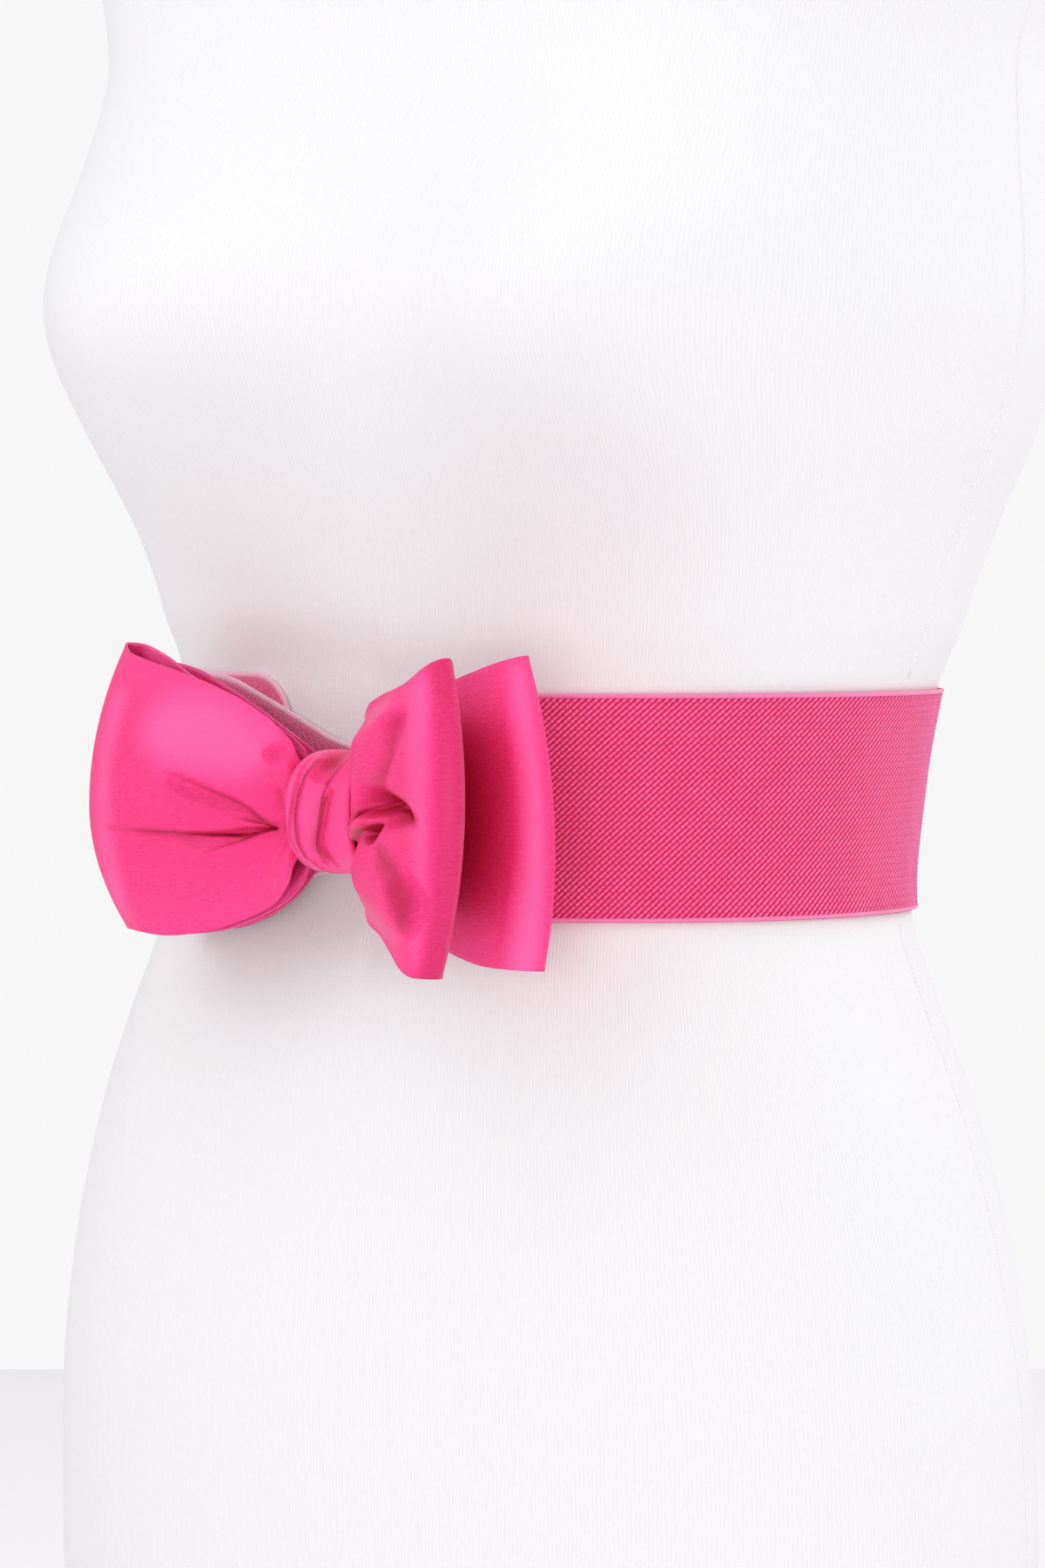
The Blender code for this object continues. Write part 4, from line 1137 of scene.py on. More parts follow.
def rib_tree():
    """Beaded ribs on the slant, bent onto a skin by its UV map."""
    tree, given = start_tree("elastic_rib_weave", (
        "Rib Spacing", "Bead Length", "Rib Width", "Rib Height", "Edge Margin",
        "Band Width", "Start", "End"))
    tall = given["Band Width"] - given["Edge Margin"] * 2.0
    first = given["Start"] - tall
    count = maths(tree, "CEIL", (given["End"] - first) / given["Rib Spacing"])
    starts = add_node(tree, "GeometryNodeMeshLine",
                      {"Count": count,
                       "Start Location": combine(tree, first, given["Edge Margin"]),
                       "Offset": combine(tree, given["Rib Spacing"])}, mode="OFFSET")
    slant = add_node(tree, "GeometryNodeCurvePrimitiveLine",
                     {"Start": (0.0, 0.0, 0.0), "End": combine(tree, tall, tall)})
    beads = maths(tree, "FLOOR", tall * math.sqrt(2.0) / given["Bead Length"])
    line = add_node(tree, "GeometryNodeResampleCurve",
                    {"Curve": slant, "Count": beads * 2.0 + 1.0})
    index = add_node(tree, "GeometryNodeInputIndex")
    neck = maths(tree, "MODULO", index, 2.0)
    weak = maths(tree, "GREATER_THAN", maths(tree, "MODULO", index, 4.0), 1.5)
    fullness = 1.0 - (neck * BEAD_NECK + weak * BEAD_WEAK)
    # Painted shade: the necks between beads store a lower value, which darkens their
    # colour.
    crown = add_node(tree, "GeometryNodeStoreNamedAttribute",
                     {"Geometry": line, "Name": "crown",
                      "Value": spread(tree, fullness, *BEAD_CROWN)},
                     data_type="FLOAT", domain="POINT")
    turned = add_node(tree, "GeometryNodeSetCurveNormal", {"Curve": crown},
                      mode="Z_UP")
    ring = add_node(tree, "GeometryNodeCurvePrimitiveCircle",
                    {"Resolution": 3, "Radius": 1.0})
    size = combine(tree, given["Rib Width"], given["Rib Height"], 1.0)
    profile = add_node(tree, "GeometryNodeTransform",
                       {"Geometry": ring, "Rotation": (0.0, 0.0, math.pi / 2),
                        "Scale": size})
    rib = add_node(tree, "GeometryNodeCurveToMesh",
                   {"Curve": turned, "Profile Curve": profile, "Scale": fullness,
                    "Fill Caps": True})
    many = add_node(tree, "GeometryNodeInstanceOnPoints",
                    {"Points": starts, "Instance": rib})
    real = add_node(tree, "GeometryNodeRealizeInstances", {0: many})
    place = add_node(tree, "GeometryNodeInputPosition")
    along, across, rise = parts_of(place, 3)
    outside = maths(tree, "MAXIMUM", maths(tree, "LESS_THAN", along, given["Start"]),
                    maths(tree, "GREATER_THAN", along, given["End"]))
    kept = add_node(tree, "GeometryNodeDeleteGeometry",
                    {"Geometry": real, "Selection": outside},
                    domain="FACE", mode="ALL")
    uv = add_node(tree, "GeometryNodeInputNamedAttribute", {"Name": "cloth"},
                  data_type="FLOAT_VECTOR")
    flat = combine(tree, along, across)
    on_skin, facing = (
        add_node(tree, "GeometryNodeSampleUVSurface",
                 {"Mesh": given["Geometry"], "Value": source, "UV Map": uv,
                  "Sample UV": flat}, data_type="FLOAT_VECTOR")
        for source in (place, add_node(tree, "GeometryNodeInputNormal")))
    laid = add_node(tree, "GeometryNodeSetPosition",
                    {"Geometry": kept,
                     "Position": vector_maths(tree, "ADD", on_skin,
                                              scaled(facing, rise))})
    return finish_tree(tree, laid, given["Material"])


def corner_height(distance):
    """Half height lost at a rounded corner, distance in from the end."""
    inside = np.clip(TAB_CORNER - distance, 0.0, TAB_CORNER)
    return TAB_CORNER - np.sqrt(TAB_CORNER ** 2 - inside ** 2)


def over_tab_layer(x):
    """How far out the over tab lies: on the form, then over the under tab."""
    on_tab = GAP + TAB_WALL + GAP
    return GAP + (on_tab - GAP) * smooth_step((LAP_START - x) / LAP_RUN)


def make_tab(name, places, half, middle, layer, open_end):
    """One tab: a web with its binding; places run towards the wearer's left."""
    angle = angle_at_front(places, BELT_MIDDLE)
    low = layer + TAB_LIFT
    inner = belt_grid(angle, middle, half - WEB_INSET, low)
    outer = belt_grid(angle, middle, half - WEB_INSET, low + WEB_WALL)
    length = running_length(outer[:, BAND_ACROSS // 2])
    share = np.linspace(-1.0, 1.0, BAND_ACROSS + 1)
    uv = np.stack([np.broadcast_to(length[:, None], outer.shape[:2]),
                   half[:, None] * share[None, :]], -1)
    web = make_shell(name + "_web", outer, inner, uv, bpy.data.materials["tab_web"])
    settle(web, "tab_web", name)

    inset = BINDING_WIDTH * BINDING_INSET
    centre = low + WEB_WALL / 2 + BINDING_LIFT - FORM_PRESS
    upper, lower = middle + half - inset, middle - half + inset
    top = form_surface(upper, angle, centre)
    bottom = form_surface(lower, angle, centre)[::-1]
    end = 0 if open_end < 0 else -1
    between = np.linspace(lower[end], upper[end], CAP_PLACES + 2)[1:-1]
    cap = form_surface(between[::-open_end], angle[end], centre[end])
    joined = np.concatenate([bottom, cap, top] if open_end < 0 else [top, cap, bottom])
    steps = np.linalg.norm(np.diff(joined, axis=0), axis=1)
    joined = joined[np.concatenate([[True], steps > SHORTEST_STEP])]
    # the way out of the form, from the nearest point of its axis
    outwards = joined * np.array([1.0, 1.0, 0.0])
    binding = make_tube(name + "_binding", joined, BINDING_WIDTH, outwards,
                        BINDING_SQUASH, bpy.data.materials["tab_binding"])
    settle(binding, "tab_web")

    sewn = []
    skin = low + WEB_WALL - FORM_PRESS
    for index, (inwards, stitch, swing, wander) in enumerate(TAB_THREADS):
        lines = []
        for sign in (1, -1):
            at = middle + sign * np.maximum(half - inwards, 0.5)
            path = form_surface(at, angle, skin)
            lines.append((path, form_surface(at, angle, skin + 1.0) - path))
        sewn.append(make_thread(f"{name}_thread_{index + 1}", lines, stitch, swing,
                                wander, index))
        settle(sewn[-1], "tab_web")


def make_thread(name, lines, stitch, swing, wander, seed):
    """Thread sewn along lines of points, each with its directions outwards."""
    points = np.concatenate([path for path, _ in lines])
    outwards = np.concatenate([out for _, out in lines])
    edges, first = [], 0
    for path, _ in lines:
        edges += [(first + place, first + place + 1) for place in range(len(path) - 1)]
        first += len(path)
    mesh = bpy.data.meshes.new(name + "_guide")
    mesh.from_pydata((points * MM).tolist(), edges, [])
    layer = mesh.attributes.new("outwards", "FLOAT_VECTOR", "POINT")
    layer.data.foreach_set("vector", outwards.ravel())
    tree = bpy.data.node_groups.get("sewn_thread") or thread_tree()
    return worked_mesh(name, add_object(name + "_guide", mesh), tree, {
        "Stitch Length": stitch * MM, "Swing": swing * MM, "Wander": wander * MM,
        "Thread Radius": THREAD_RADIUS * MM, "Seed": seed,
        "Material": bpy.data.materials["sewing_thread"]})


def worked_mesh(name, guide, tree, values):
    """Run a Geometry Nodes tree on a guide and keep the plain mesh it makes."""
    modifier = guide.modifiers.new("Work", "NODES")
    modifier.node_group = tree
    for item in tree.interface.items_tree:
        if item.item_type == "SOCKET" and item.name in values:
            modifier[item.identifier] = values[item.name]
    graph = bpy.context.evaluated_depsgraph_get()
    mesh = bpy.data.meshes.new_from_object(guide.evaluated_get(graph),
                                           preserve_all_data_layers=True,
                                           depsgraph=graph)
    mesh.name = name
    bpy.data.objects.remove(guide)
    return add_object(name, mesh)


def thread_tree():
    """A thread that swings from side to side along a path, in and out of the web."""
    tree, given = start_tree("sewn_thread", ("Stitch Length", "Swing", "Wander",
                                             "Thread Radius"), ("Seed",))
    path = add_node(tree, "GeometryNodeMeshToCurve", {"Mesh": given["Geometry"]})
    even = add_node(tree, "GeometryNodeResampleCurve",
                    {"Curve": path, "Length": given["Stitch Length"] / THREAD_STEPS},
                    mode="LENGTH")
    phase = add_node(tree, "GeometryNodeInputIndex") * (2.0 * math.pi / THREAD_STEPS)
    stored = add_node(tree, "GeometryNodeInputNamedAttribute", {"Name": "outwards"},
                      data_type="FLOAT_VECTOR")
    out = vector_maths(tree, "NORMALIZE", stored, (0.0, 0.0, 0.0))
    tangent = add_node(tree, "GeometryNodeInputTangent")
    side = vector_maths(tree, "CROSS_PRODUCT", tangent, out)
    place = vector_maths(tree, "ADD", add_node(tree, "GeometryNodeInputPosition"),
                         combine(tree, given["Seed"]))
    ragged = noise(tree, place, THREAD_GRAIN, 1.0) - 0.5
    aside = (maths(tree, "SINE", phase) * given["Swing"]
             + ragged * (given["Wander"] * 2.0))
    lift = given["Thread Radius"] * spread(tree, maths(tree, "COSINE", phase),
                                           -1.0, 1.0, *THREAD_DEPTHS)
    shift = vector_maths(tree, "ADD", scaled(side, aside), scaled(out, lift))
    laid = add_node(tree, "GeometryNodeSetPosition",
                    {"Geometry": even, "Offset": shift})
    ring = add_node(tree, "GeometryNodeCurvePrimitiveCircle",
                    {"Resolution": 5, "Radius": given["Thread Radius"]})
    thread = add_node(tree, "GeometryNodeCurveToMesh",
                      {"Curve": laid, "Profile Curve": ring, "Fill Caps": True})
    return finish_tree(tree, thread, given["Material"])


def make_tabs():
    """The under tab and the over tab that carries the bow."""
    web_material()
    thread_material()
    binding_material("tab_binding", bpy.context.scene.belt_colours.binding)
    quarter = np.linspace(0.0, math.pi / 2, 14)
    corner = UNDER_TAB_END - TAB_CORNER * (1.0 - np.cos(quarter))
    straight = np.linspace(corner[-1], BAND_END + GAP, 24)[1:]
    places = np.concatenate([corner, straight])[::-1]
    middle = belt_middle(angle_at_front(places, BELT_MIDDLE))
    half = BELT_WIDTH / 2 - corner_height(UNDER_TAB_END - places)
    make_tab("under_tab", places, half, middle, np.full(len(places), GAP),
             1)
    first, last = OVER_TAB_SHAPE[-1][0], OVER_TAB_SHAPE[0][0]
    places = first + (last - first) * (1.0 - np.cos(np.linspace(0.0, math.pi, 110))) / 2
    half, middle = read_table(OVER_TAB_SHAPE, places)
    make_tab("over_tab", places, half, middle, over_tab_layer(places),
             -1)


# ---------------------------------------------------------------------- the bow
def swell_offset(name, ply, out, up):
    """How far the broad swells move a ply forwards."""
    total = np.zeros(np.shape(out))
    set_in, at_start, fade = SWELL_ENDS
    for start, end, half_width, depth in SWELLS.get((name, ply), ()):
        run, rise = end[0] - start[0], end[1] - start[1]
        length = math.hypot(run, rise)
        part = ((out - start[0]) * run + (up - start[1]) * rise) / length ** 2
        aside = ((out - start[0]) * rise - (up - start[1]) * run) / length
        ends = (smooth_step(part / set_in + at_start)
                * smooth_step((1.0 - part) / fade))
        total += depth * ends * bell(aside, half_width)
    return total


def fold_relief(name, ply, out, up):
    """How far puffs and creases move a ply forwards, and its painted shade and painted
    highlight.
    """
    total, painted_shading, light = (np.zeros(np.shape(out)) for _ in range(3))
    for outline, height, slope, tone in PUFFS.get((name, ply), ()):
        within = smooth_step(0.5 + inside_outline(outline, out, up) / slope)
        rising = smooth_step((out - PUFF_START) / PUFF_RISE) if height > 0.0 else 1.0
        total += height * within * rising
        # Painted shade inside each patch, and painted highlight where its tone is
        # negative.
        painted_shading = np.maximum(painted_shading, tone * within)
        light = np.minimum(light, tone * within)
    for places, over, under, step, (set_in, fade), tone in CREASES.get((name, ply), ()):
        aside, share = beside_line(smooth_line(places), out, up)
        upper = 0.5 + 0.5 * np.tanh(aside / step)
        ends = (smooth_step(CREASE_START + share / set_in)
                * smooth_step((1.0 - share) / fade))
        for (height, first, last), part in ((over, upper), (under, 1.0 - upper)):
            width = first + (last - first) * share
            total += ends * height * part * bell(aside, width)
        # Painted shade: a dark line laid along each crease.
        painted_shading = np.maximum(painted_shading, tone * ends * bell(aside, CREASE_LINE))
    return total, np.where(painted_shading > DARK_LEAST, painted_shading, light * (1.0 - painted_shading / DARK_LEAST))


def loop_axis(loop, out):
    """Points and forward directions of a loop's middle line at a distance out."""
    swing = math.radians(loop["swing"])
    radius = loop["turn_run"] / swing
    turned = swing * np.clip((out - LOOP_MOUTH) / loop["turn_run"], 0.0, 1.0)
    beyond = np.maximum(out - LOOP_MOUTH - loop["turn_run"], 0.0)
    sideways = (LOOP_ROOT + np.minimum(out, LOOP_MOUTH) + radius * np.sin(turned)
                + beyond * np.cos(turned))
    forwards = radius * (1.0 - np.cos(turned)) + beyond * np.sin(turned)
    return ((loop["side"] * sideways, loop["root_y"] - forwards),
            (-loop["side"] * np.sin(turned), -np.cos(turned)))


def loop_points(loop, turn, across):
    """Points on a loop: turn 0 to pi along the ribbon, across -1 to 1."""
    name = loop["name"]
    upper_tip, lower_tip = LOOP_EDGES[name][-1][1:]
    part = np.sin(turn)
    upper, lower = read_table(LOOP_EDGES[name], part)
    drops = EDGE_DROPS.get(name, ((0.0, 0.0, loop["back_drop"]),
                                  (1.0, 0.0, loop["back_drop"])))
    front_drop, back_drop = read_table(drops, part)
    upper = upper - (back_drop * smooth_step(2.0 * np.cos(turn))
                     + front_drop * smooth_step(-2.0 * np.cos(turn)))
    up = (upper + lower) / 2 + (upper - lower) / 2 * across
    tip_part = up / np.where(up > 0.0, upper_tip, -lower_tip)
    drawn_in = loop["tip_bow"] * tip_part ** 2 - loop["tip_lean"] * tip_part
    out = part * (loop["reach"] - smooth_step(part) * drawn_in)
    (x, y), (ahead_x, ahead_y) = loop_axis(loop, out)
    front = turn >= math.pi / 2
    ply = np.where(front, 1.0, -1.0)
    opened = smooth_step((out - LOOP_MOUTH / 2) / LOOP_OPENING)
    fullness = np.where(front, loop["front_fullness"], loop["back_fullness"])
    forward = -(loop["root_gap"] * np.cos(turn)
                + opened * fullness * np.sin(2.0 * turn)
                * (1.0 - EDGE_FLATTEN * across ** 2))
    at_edge = smooth_step(np.abs(across) / PINCH_START - 1.0)
    pinched = EDGE_PINCH.get(name, 0.0) * at_edge
    forward *= np.where(front, 1.0, 1.0 - pinched * smooth_step(2.0 * np.cos(turn)))
    forward += loop["curl"] * tip_part ** 2 * smooth_step(part)
    off_tip = smooth_step(np.abs(np.cos(turn)) / TIP_CALM)
    (front_relief, front_painted_shading), (back_relief, back_painted_shading) = (
        fold_relief(name, side, out, up) for side in (1, -1))
    forward += off_tip * np.where(front, swell_offset(name, 1, out, up) + front_relief,
                                  swell_offset(name, -1, out, up) + back_relief)
    # Painted shade and painted highlight of the folds, calmed round the tip.
    painted_shading = off_tip * np.where(front, front_painted_shading, back_painted_shading)
    gathered = 1.0 - smooth_step((out - LOOP_MOUTH / 2) / PLEAT_REACH)
    forward -= ROOT_CURVE * gathered * across ** 2
    forward += (ply * PLEAT_HEIGHT * gathered * off_tip
                * np.cos(math.pi * PLEATS_ACROSS * across))
    return np.stack([x + ahead_x * forward, y + ahead_y * forward,
                     KNOT_MIDDLE + up], -1), painted_shading


def store_painted_shading(piece, first, second):
    """Keep each point's painted shade and painted highlight, first and second face in
    turn.
    """
    layer = piece.data.attributes.new("painted_shade_and_highlight", "FLOAT", "POINT")
    layer.data.foreach_set("value", np.concatenate([first.ravel(), second.ravel()]))


def make_loop(loop, material):
    """One loop of satin ribbon, with its creases and its woven edges."""
    name = loop["name"]
    back_rows, front_rows, columns = LOOP_DETAIL[name]
    even = np.concatenate([np.linspace(0.0, 0.5, back_rows, endpoint=False),
                           np.linspace(0.5, 1.0, front_rows + 1)])
    turn = math.pi * even - CROWDING / 2 * np.sin(2.0 * math.pi * even)
    across = np.linspace(-1.0, 1.0, columns + 1)
    across = across - MIDDLE_CROWDING / math.pi * np.sin(math.pi * across)
    grid, painted_shading = loop_points(loop, *np.meshgrid(turn, across, indexing="ij"))
    if loop["side"] < 0:
        grid, painted_shading = grid[::-1], painted_shading[::-1]
    normals = grid_normals(grid)
    length = running_length(grid[:, columns // 2])
    _, upper_tip, lower_tip = LOOP_EDGES[name][-1]
    width = upper_tip - lower_tip
    from_edge = (1.0 - np.abs(across)) * width / 2
    wall = SATIN_THICKNESS + SATIN_HEM * bell(from_edge, HEM_WIDTH)
    half_wall = (wall / 2)[None, :, None]
    uv = flat_grid(length, across * width / 2)
    piece = make_shell(name + "_ribbon", grid + normals * half_wall,
                       grid - normals * half_wall, uv, material)
    # Painted light along the cloth's edges: it lifts their painted shade, whole on the
    # first face and a share on the other, and gives painted highlight.
    edge_light = EDGE_LIGHT * bell(from_edge, EDGE_LIGHT_WIDTH)[None, :]
    # Painted shade where the ribbon turns away round the tip.
    tip_width = TIP_PAINTED_SHADE_WIDTH / loop["reach"]
    turned = smooth_step((np.sin(turn) - 1.0 + tip_width) / tip_width)[:, None]
    turned = turned if loop["side"] > 0 else turned[::-1]
    tip_painted_shade = TIP_PAINTED_SHADE[name] * turned
    painted_shading = np.where(painted_shading > 0.0, np.maximum(painted_shading, tip_painted_shade),
                    painted_shading * (1.0 - turned * (tip_painted_shade > 0.0)) + tip_painted_shade)
    plain = 1.0 - np.clip(painted_shading * OUTER_LIMIT, 0.0, 1.0)
    store_painted_shading(piece, np.broadcast_to(-edge_light, painted_shading.shape),
                painted_shading - OUTER_LIGHT * edge_light * plain)
    settle(piece, "satin", name)
    flat = (width * MM, round(float(length[-1]) * MM, 4))
    RIBBON_CUT * flat[0] * flat[1]


def make_knot(material):
    """The short ribbon wrapped and pleated round the middle of the bow."""
    around, along_count = KNOT_DETAIL
    tab_front = form_surface(KNOT_MIDDLE, 0.0,
                             over_tab_layer(0.0) + TAB_WALL - FORM_PRESS)[1]
    back = tab_front - GAP - KNOT_SEAT
    middle_y = (back + KNOT_FRONT) / 2
    half_depth = (back - KNOT_FRONT) / 2 - KNOT_WALL / 2 - KNOT_INSET
    half_height = KNOT_HALF_HEIGHT - KNOT_WALL / 2
    angle = (2.0 * math.pi * np.arange(around) / around)[:, None]
    along = np.linspace(KNOT_REACH[1], -KNOT_REACH[0], along_count + 1)[None, :]
    up, front = np.sin(angle), np.cos(angle)
    outline = (np.abs(up / half_height) ** KNOT_POWER
               + np.abs(front / half_depth) ** KNOT_POWER) ** (-1.0 / KNOT_POWER)
    shown = smooth_step(KNOT_FRONT_START + front)
    height = outline * up
    relief, painted_shading = (np.zeros((around, along_count + 1)) for _ in range(2))
    for (places, right, left, right_width, left_width, step, tone,
         (low, high)) in KNOT_PLEATS:
        aside = along - read_table(places, height)[0]
        side = 0.5 + 0.5 * np.tanh(aside / step)
        ends = (smooth_step((height - low) / KNOT_PLEAT_ENDS + 0.5)
                * smooth_step((high - height) / KNOT_PLEAT_ENDS + 0.5))
        relief += ends * (right * side * bell(aside, right_width)
                          + left * (1.0 - side) * bell(aside, left_width))
        # Painted shade: a dark line laid along each pleat.
        painted_shading = np.maximum(painted_shading, tone * ends * shown * bell(aside, KNOT_LINE))
    tall, place, half_tall, half_wide, depth = KNOT_HOLLOW
    from_hollow = np.hypot((height - tall) / half_tall, (along - place) / half_wide)
    sunk = bell(from_hollow, KNOT_HOLLOW_EDGE)
    relief -= depth * sunk
    # Painted shade added in the knot's sunk hollow.
    painted_shading = np.maximum(painted_shading, KNOT_HOLLOW_PAINTED_SHADE * sunk * shown)
    turned_in = 0.0
    for sign, reach, shoulder, depth in zip((-1, 1), KNOT_REACH, KNOT_SHOULDER,
                                            KNOT_TURN_IN):
        part = np.clip((sign * along - reach + shoulder) / shoulder, 0.0, 1.0)
        arc = np.sqrt(1.0 - KNOT_TURN_SHARE * part ** 2)
        turned_in = turned_in + depth * (1.0 - arc)
    radius = outline + shown * (relief - turned_in)
    grid = np.stack(np.broadcast_arrays(KNOT_CENTRE + along, middle_y - radius * front,
                                        KNOT_MIDDLE + radius * up), -1)
    half_wall = grid_normals(grid, around=True) * KNOT_WALL / 2
    length = running_length(np.concatenate([grid, grid[:1]])[:, along_count // 2])
    uv = flat_grid(length, along[0])
    piece = make_shell("knot_ribbon", grid + half_wall, grid - half_wall, uv, material,
                       around=True)
    # Painted highlight on the knot's front, outside its painted shade lines.
    painted_shading = np.where(painted_shading > DARK_LEAST, painted_shading, -KNOT_PAINTED_HIGHLIGHT * shown)
    store_painted_shading(piece, painted_shading, painted_shading)
    settle(piece, "satin", "bow_knot")


# -------------------------------------------------------------------- the stage
def make_area_light(name, azimuth, elevation, power):
    """A soft light aimed at the belt."""
    light = bpy.data.lights.new(name, "AREA")
    light.shape = "SQUARE"
    light.size = LIGHT_SIZE
    light.energy = power
    item = add_object(name, light)
    turn, lift = math.radians(azimuth), math.radians(elevation)
    way = (math.sin(turn) * math.cos(lift), -math.cos(turn) * math.cos(lift),
           math.sin(lift))
    item.location = [target + LIGHT_DISTANCE * part
                     for target, part in zip(LIGHT_TARGET, way)]
    item.rotation_euler = (math.pi / 2 - lift, 0.0, turn)


def make_stage():
    """A plain pale table, a white room, soft lights and the camera."""
    colours = bpy.context.scene.belt_colours
    turn = math.radians(CAMERA_AZIMUTH)
    towards = np.array([math.sin(turn), -math.cos(turn)])
    aside = np.array([math.cos(turn), math.sin(turn)])
    corners = [(-TABLE_BEHIND, -TABLE_SIDE), (-TABLE_BEHIND, TABLE_SIDE),
               (TABLE_AHEAD, TABLE_SIDE), (TABLE_AHEAD, -TABLE_SIDE)]
    points = np.array([[*(towards * ahead + aside * side), 0.0]
                       for ahead, side in corners]) / MM
    table = make_mesh("table", points, [(0, 3, 2, 1)], None, floor_material())

    world = bpy.data.worlds.new("white_room")
    world.use_nodes = True
    tree = world.node_tree
    background = tree.nodes["Background"]
    background.inputs["Color"].default_value = rgba(colours.room)
    seen = add_node(tree, "ShaderNodeLightPath", (), "Is Camera Ray")
    tree.links.new(spread(tree, seen, 0.0, 1.0, ROOM_LIGHT, 1.0).socket,
                   background.inputs["Strength"])
    bpy.context.scene.world = world

    for light in LIGHTS:
        make_area_light(*light)

    data = bpy.data.cameras.new("camera")
    data.sensor_fit = "VERTICAL"
    data.sensor_height = 36.0
    data.lens = CAMERA_LENS
    data.clip_start = 0.05
    data.clip_end = 20.0
    camera = add_object("camera", data)
    place = towards * CAMERA_DISTANCE + aside * CAMERA_SIDE
    camera.location = (*place, CAMERA_HEIGHT)
    camera.rotation_euler = (math.radians(90.0 - CAMERA_TILT), 0.0, turn)
    bpy.context.scene.camera = camera
    bpy.context.scene.view_settings.view_transform = "Standard"


# ------------------------------------------------------------------- the add-on
def size_property(name, description, default, low, high):
    """A size setting, in metres."""
    return FloatProperty(name=name, description=description, default=default, min=low,
                         max=high, unit="LENGTH", precision=5)


class BeltSizes(bpy.types.PropertyGroup):
    """Sizes of the belt's weave."""
    rib_spacing: size_property("Rib spacing", "Distance between ribs along the elastic",
                               0.0018, 0.001, 0.01)
    bead_length: size_property("Bead length", "Length of one bead along a rib",
                               0.0013, 0.0008, 0.01)
    rib_width: size_property("Rib width", "Half the width of a rib at its fullest",
                             0.00070, 0.0001, 0.005)
    rib_height: size_property("Rib height", "How far a rib stands off the ground",
                              0.00045, 0.0001, 0.005)
    rib_margin: size_property("Rib margin", "Plain strip left along each edge",
                              0.0009, 0.0, 0.01)


def colour_property(name, description, default):
    """A colour setting."""
    return FloatVectorProperty(name=name, description=description, default=default,
                               subtype="COLOR", size=3, min=0.0, max=1.0)


class BeltColours(bpy.types.PropertyGroup):
    """Colours of the belt, the form and the room."""
    satin: colour_property("Satin", "The bow's ribbon", (0.97, 0.049, 0.246))
    satin_thread: colour_property("Satin threads", "Between the satin's threads",
                                  (0.88, 0.029, 0.188))
    # Painted highlight: the lighter colour laid where the satin would catch the light.
    satin_painted_highlight: colour_property("Satin bloom", "Where the satin catches the light",
                                 (1.0, 0.150, 0.44))
    # Painted shade: the colour laid in the bow's hollows and folds in place of their
    # shade.
    satin_painted_shade: colour_property("Satin hollows", "Deep inside the bow's folds",
                                  (0.36, 0.0006, 0.002))
    elastic_thread: colour_property("Elastic thread", "The elastic's raised ribs",
                                    (1.0, 0.20, 0.50))
    elastic_ground: colour_property("Elastic ground", "Between the elastic's ribs",
                                    (0.82, 0.020, 0.135))
    web: colour_property("Tab web", "The tabs' napped web", (1.0, 0.055, 0.18))
    binding: colour_property("Binding", "The tabs' bound edge", (1.0, 0.52, 0.69))
    selvedge: colour_property("Selvedge", "The elastic's woven edge",
                              (1.0, 0.22, 0.47))
    thread: colour_property("Thread", "Sewing thread", (1.0, 0.24, 0.44))
    cover: colour_property("Form cover", "The form's knitted cover",
                           (0.89, 0.885, 0.895))
    floor: colour_property("Table", "The table top", (0.90, 0.89, 0.905))
    room: colour_property("Room", "The white room", (0.93, 0.925, 0.93))


class BELT_OT_cover(bpy.types.Operator):
    """Make the padded form in its knitted cover"""
    bl_idname = "belt.make_cover"
    bl_label = "Form Cover"
    bl_options = {"REGISTER", "UNDO"}

    def execute(self, context):
        make_cover()
        return {"FINISHED"}


class BELT_OT_band(bpy.types.Operator):
    """Make the elastic with its ribs and selvedges"""
    bl_idname = "belt.make_band"
    bl_label = "Elastic"
    bl_options = {"REGISTER", "UNDO"}

    def execute(self, context):
        make_band()
        return {"FINISHED"}


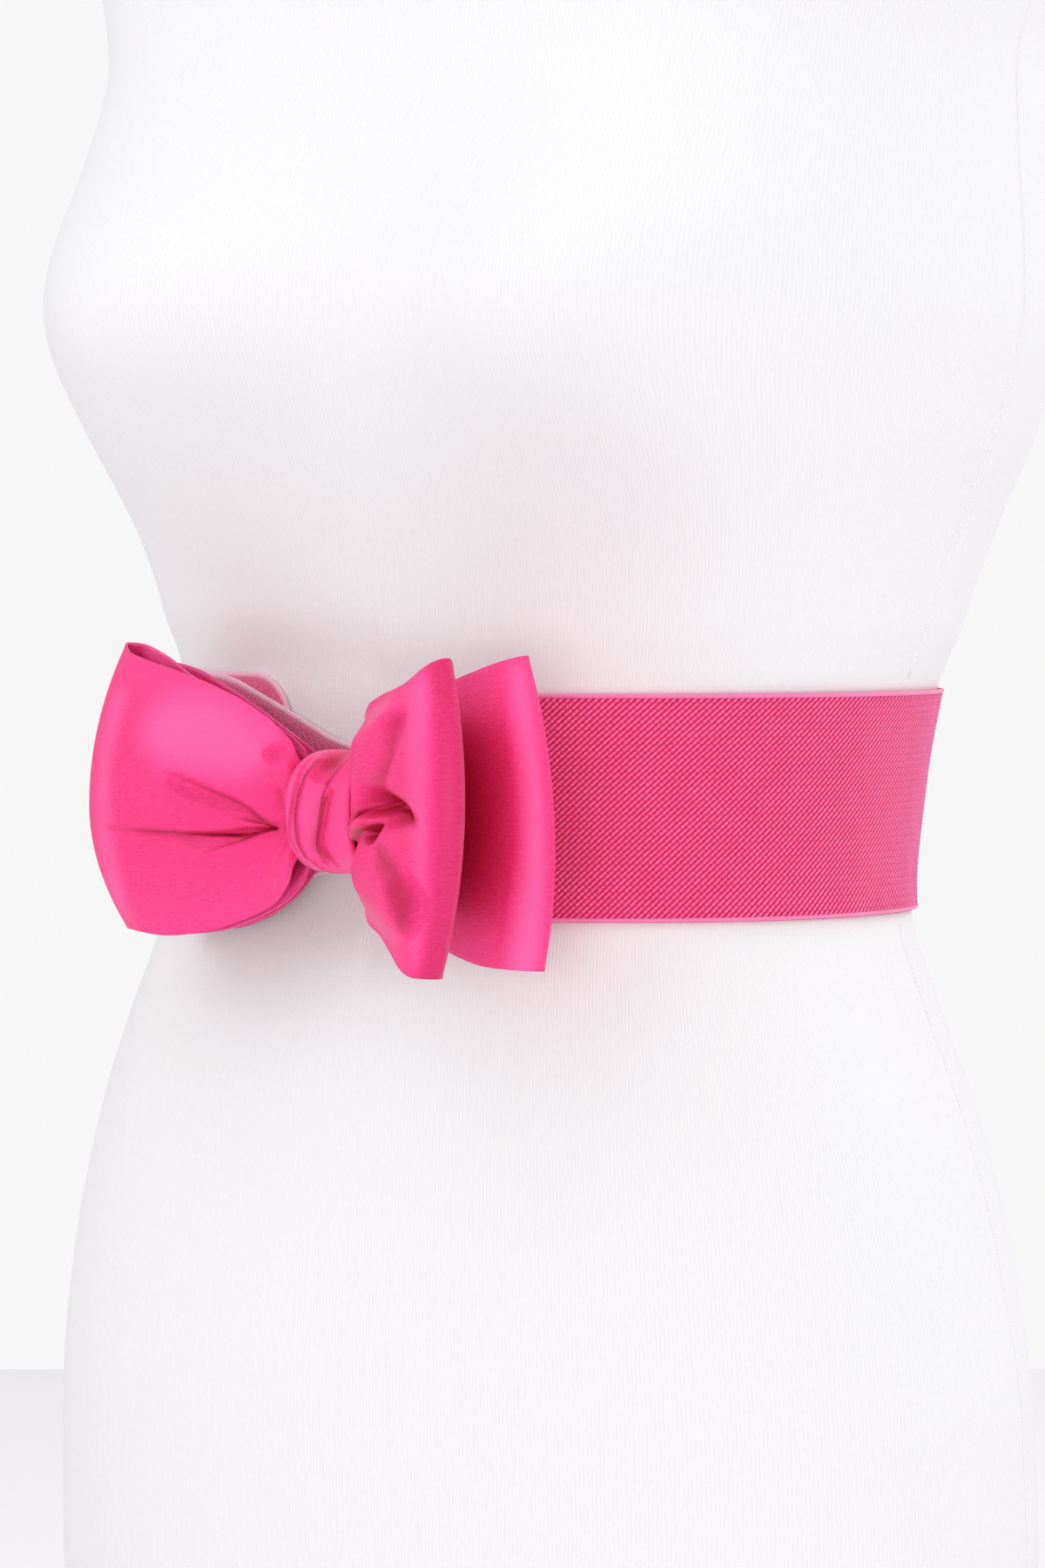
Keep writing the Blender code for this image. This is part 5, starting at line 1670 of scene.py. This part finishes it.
class BELT_OT_tabs(bpy.types.Operator):
    """Make the two bound tabs"""
    bl_idname = "belt.make_tabs"
    bl_label = "Tabs"
    bl_options = {"REGISTER", "UNDO"}

    def execute(self, context):
        make_tabs()
        return {"FINISHED"}


class BELT_OT_bow(bpy.types.Operator):
    """Make the bow's knot and its four loops"""
    bl_idname = "belt.make_bow"
    bl_label = "Bow"
    bl_options = {"REGISTER", "UNDO"}

    def execute(self, context):
        material = satin_material()
        make_knot(material)
        for row in LOOPS:
            make_loop(dict(zip(LOOP_COLUMNS, row)), material)
        return {"FINISHED"}


class BELT_OT_stage(bpy.types.Operator):
    """Make the table, the lights and the camera"""
    bl_idname = "belt.make_stage"
    bl_label = "Stage"
    bl_options = {"REGISTER", "UNDO"}

    def execute(self, context):
        make_stage()
        return {"FINISHED"}


OPERATORS = (BELT_OT_cover, BELT_OT_band, BELT_OT_tabs, BELT_OT_bow, BELT_OT_stage)


class BELT_PT_panel(bpy.types.Panel):
    """Buttons for the belt's pieces"""
    bl_label = "Bow Belt"
    bl_idname = "BELT_PT_panel"
    bl_space_type = "VIEW_3D"
    bl_region_type = "UI"
    bl_category = "Bow Belt"

    def draw(self, context):
        for operator in OPERATORS:
            self.layout.operator(operator.bl_idname)
        for group in (context.scene.belt_sizes, context.scene.belt_colours):
            for key in group.bl_rna.properties.keys():
                if key not in {"rna_type", "name"}:
                    self.layout.prop(group, key)


CLASSES = (BeltSizes, BeltColours, *OPERATORS, BELT_PT_panel)


def register():
    """Register the classes and the scene's settings."""
    for item in CLASSES:
        bpy.utils.register_class(item)
    bpy.types.Scene.belt_sizes = PointerProperty(type=BeltSizes)
    bpy.types.Scene.belt_colours = PointerProperty(type=BeltColours)


def unregister():
    """Remove the settings and the classes."""
    del bpy.types.Scene.belt_colours
    del bpy.types.Scene.belt_sizes
    for item in reversed(CLASSES):
        bpy.utils.unregister_class(item)


def main():
    """Make every piece in order."""
    register()
    for operator in OPERATORS:
        family, action = operator.bl_idname.split(".")
        getattr(getattr(bpy.ops, family), action)()


if __name__ == "__main__":
    main()
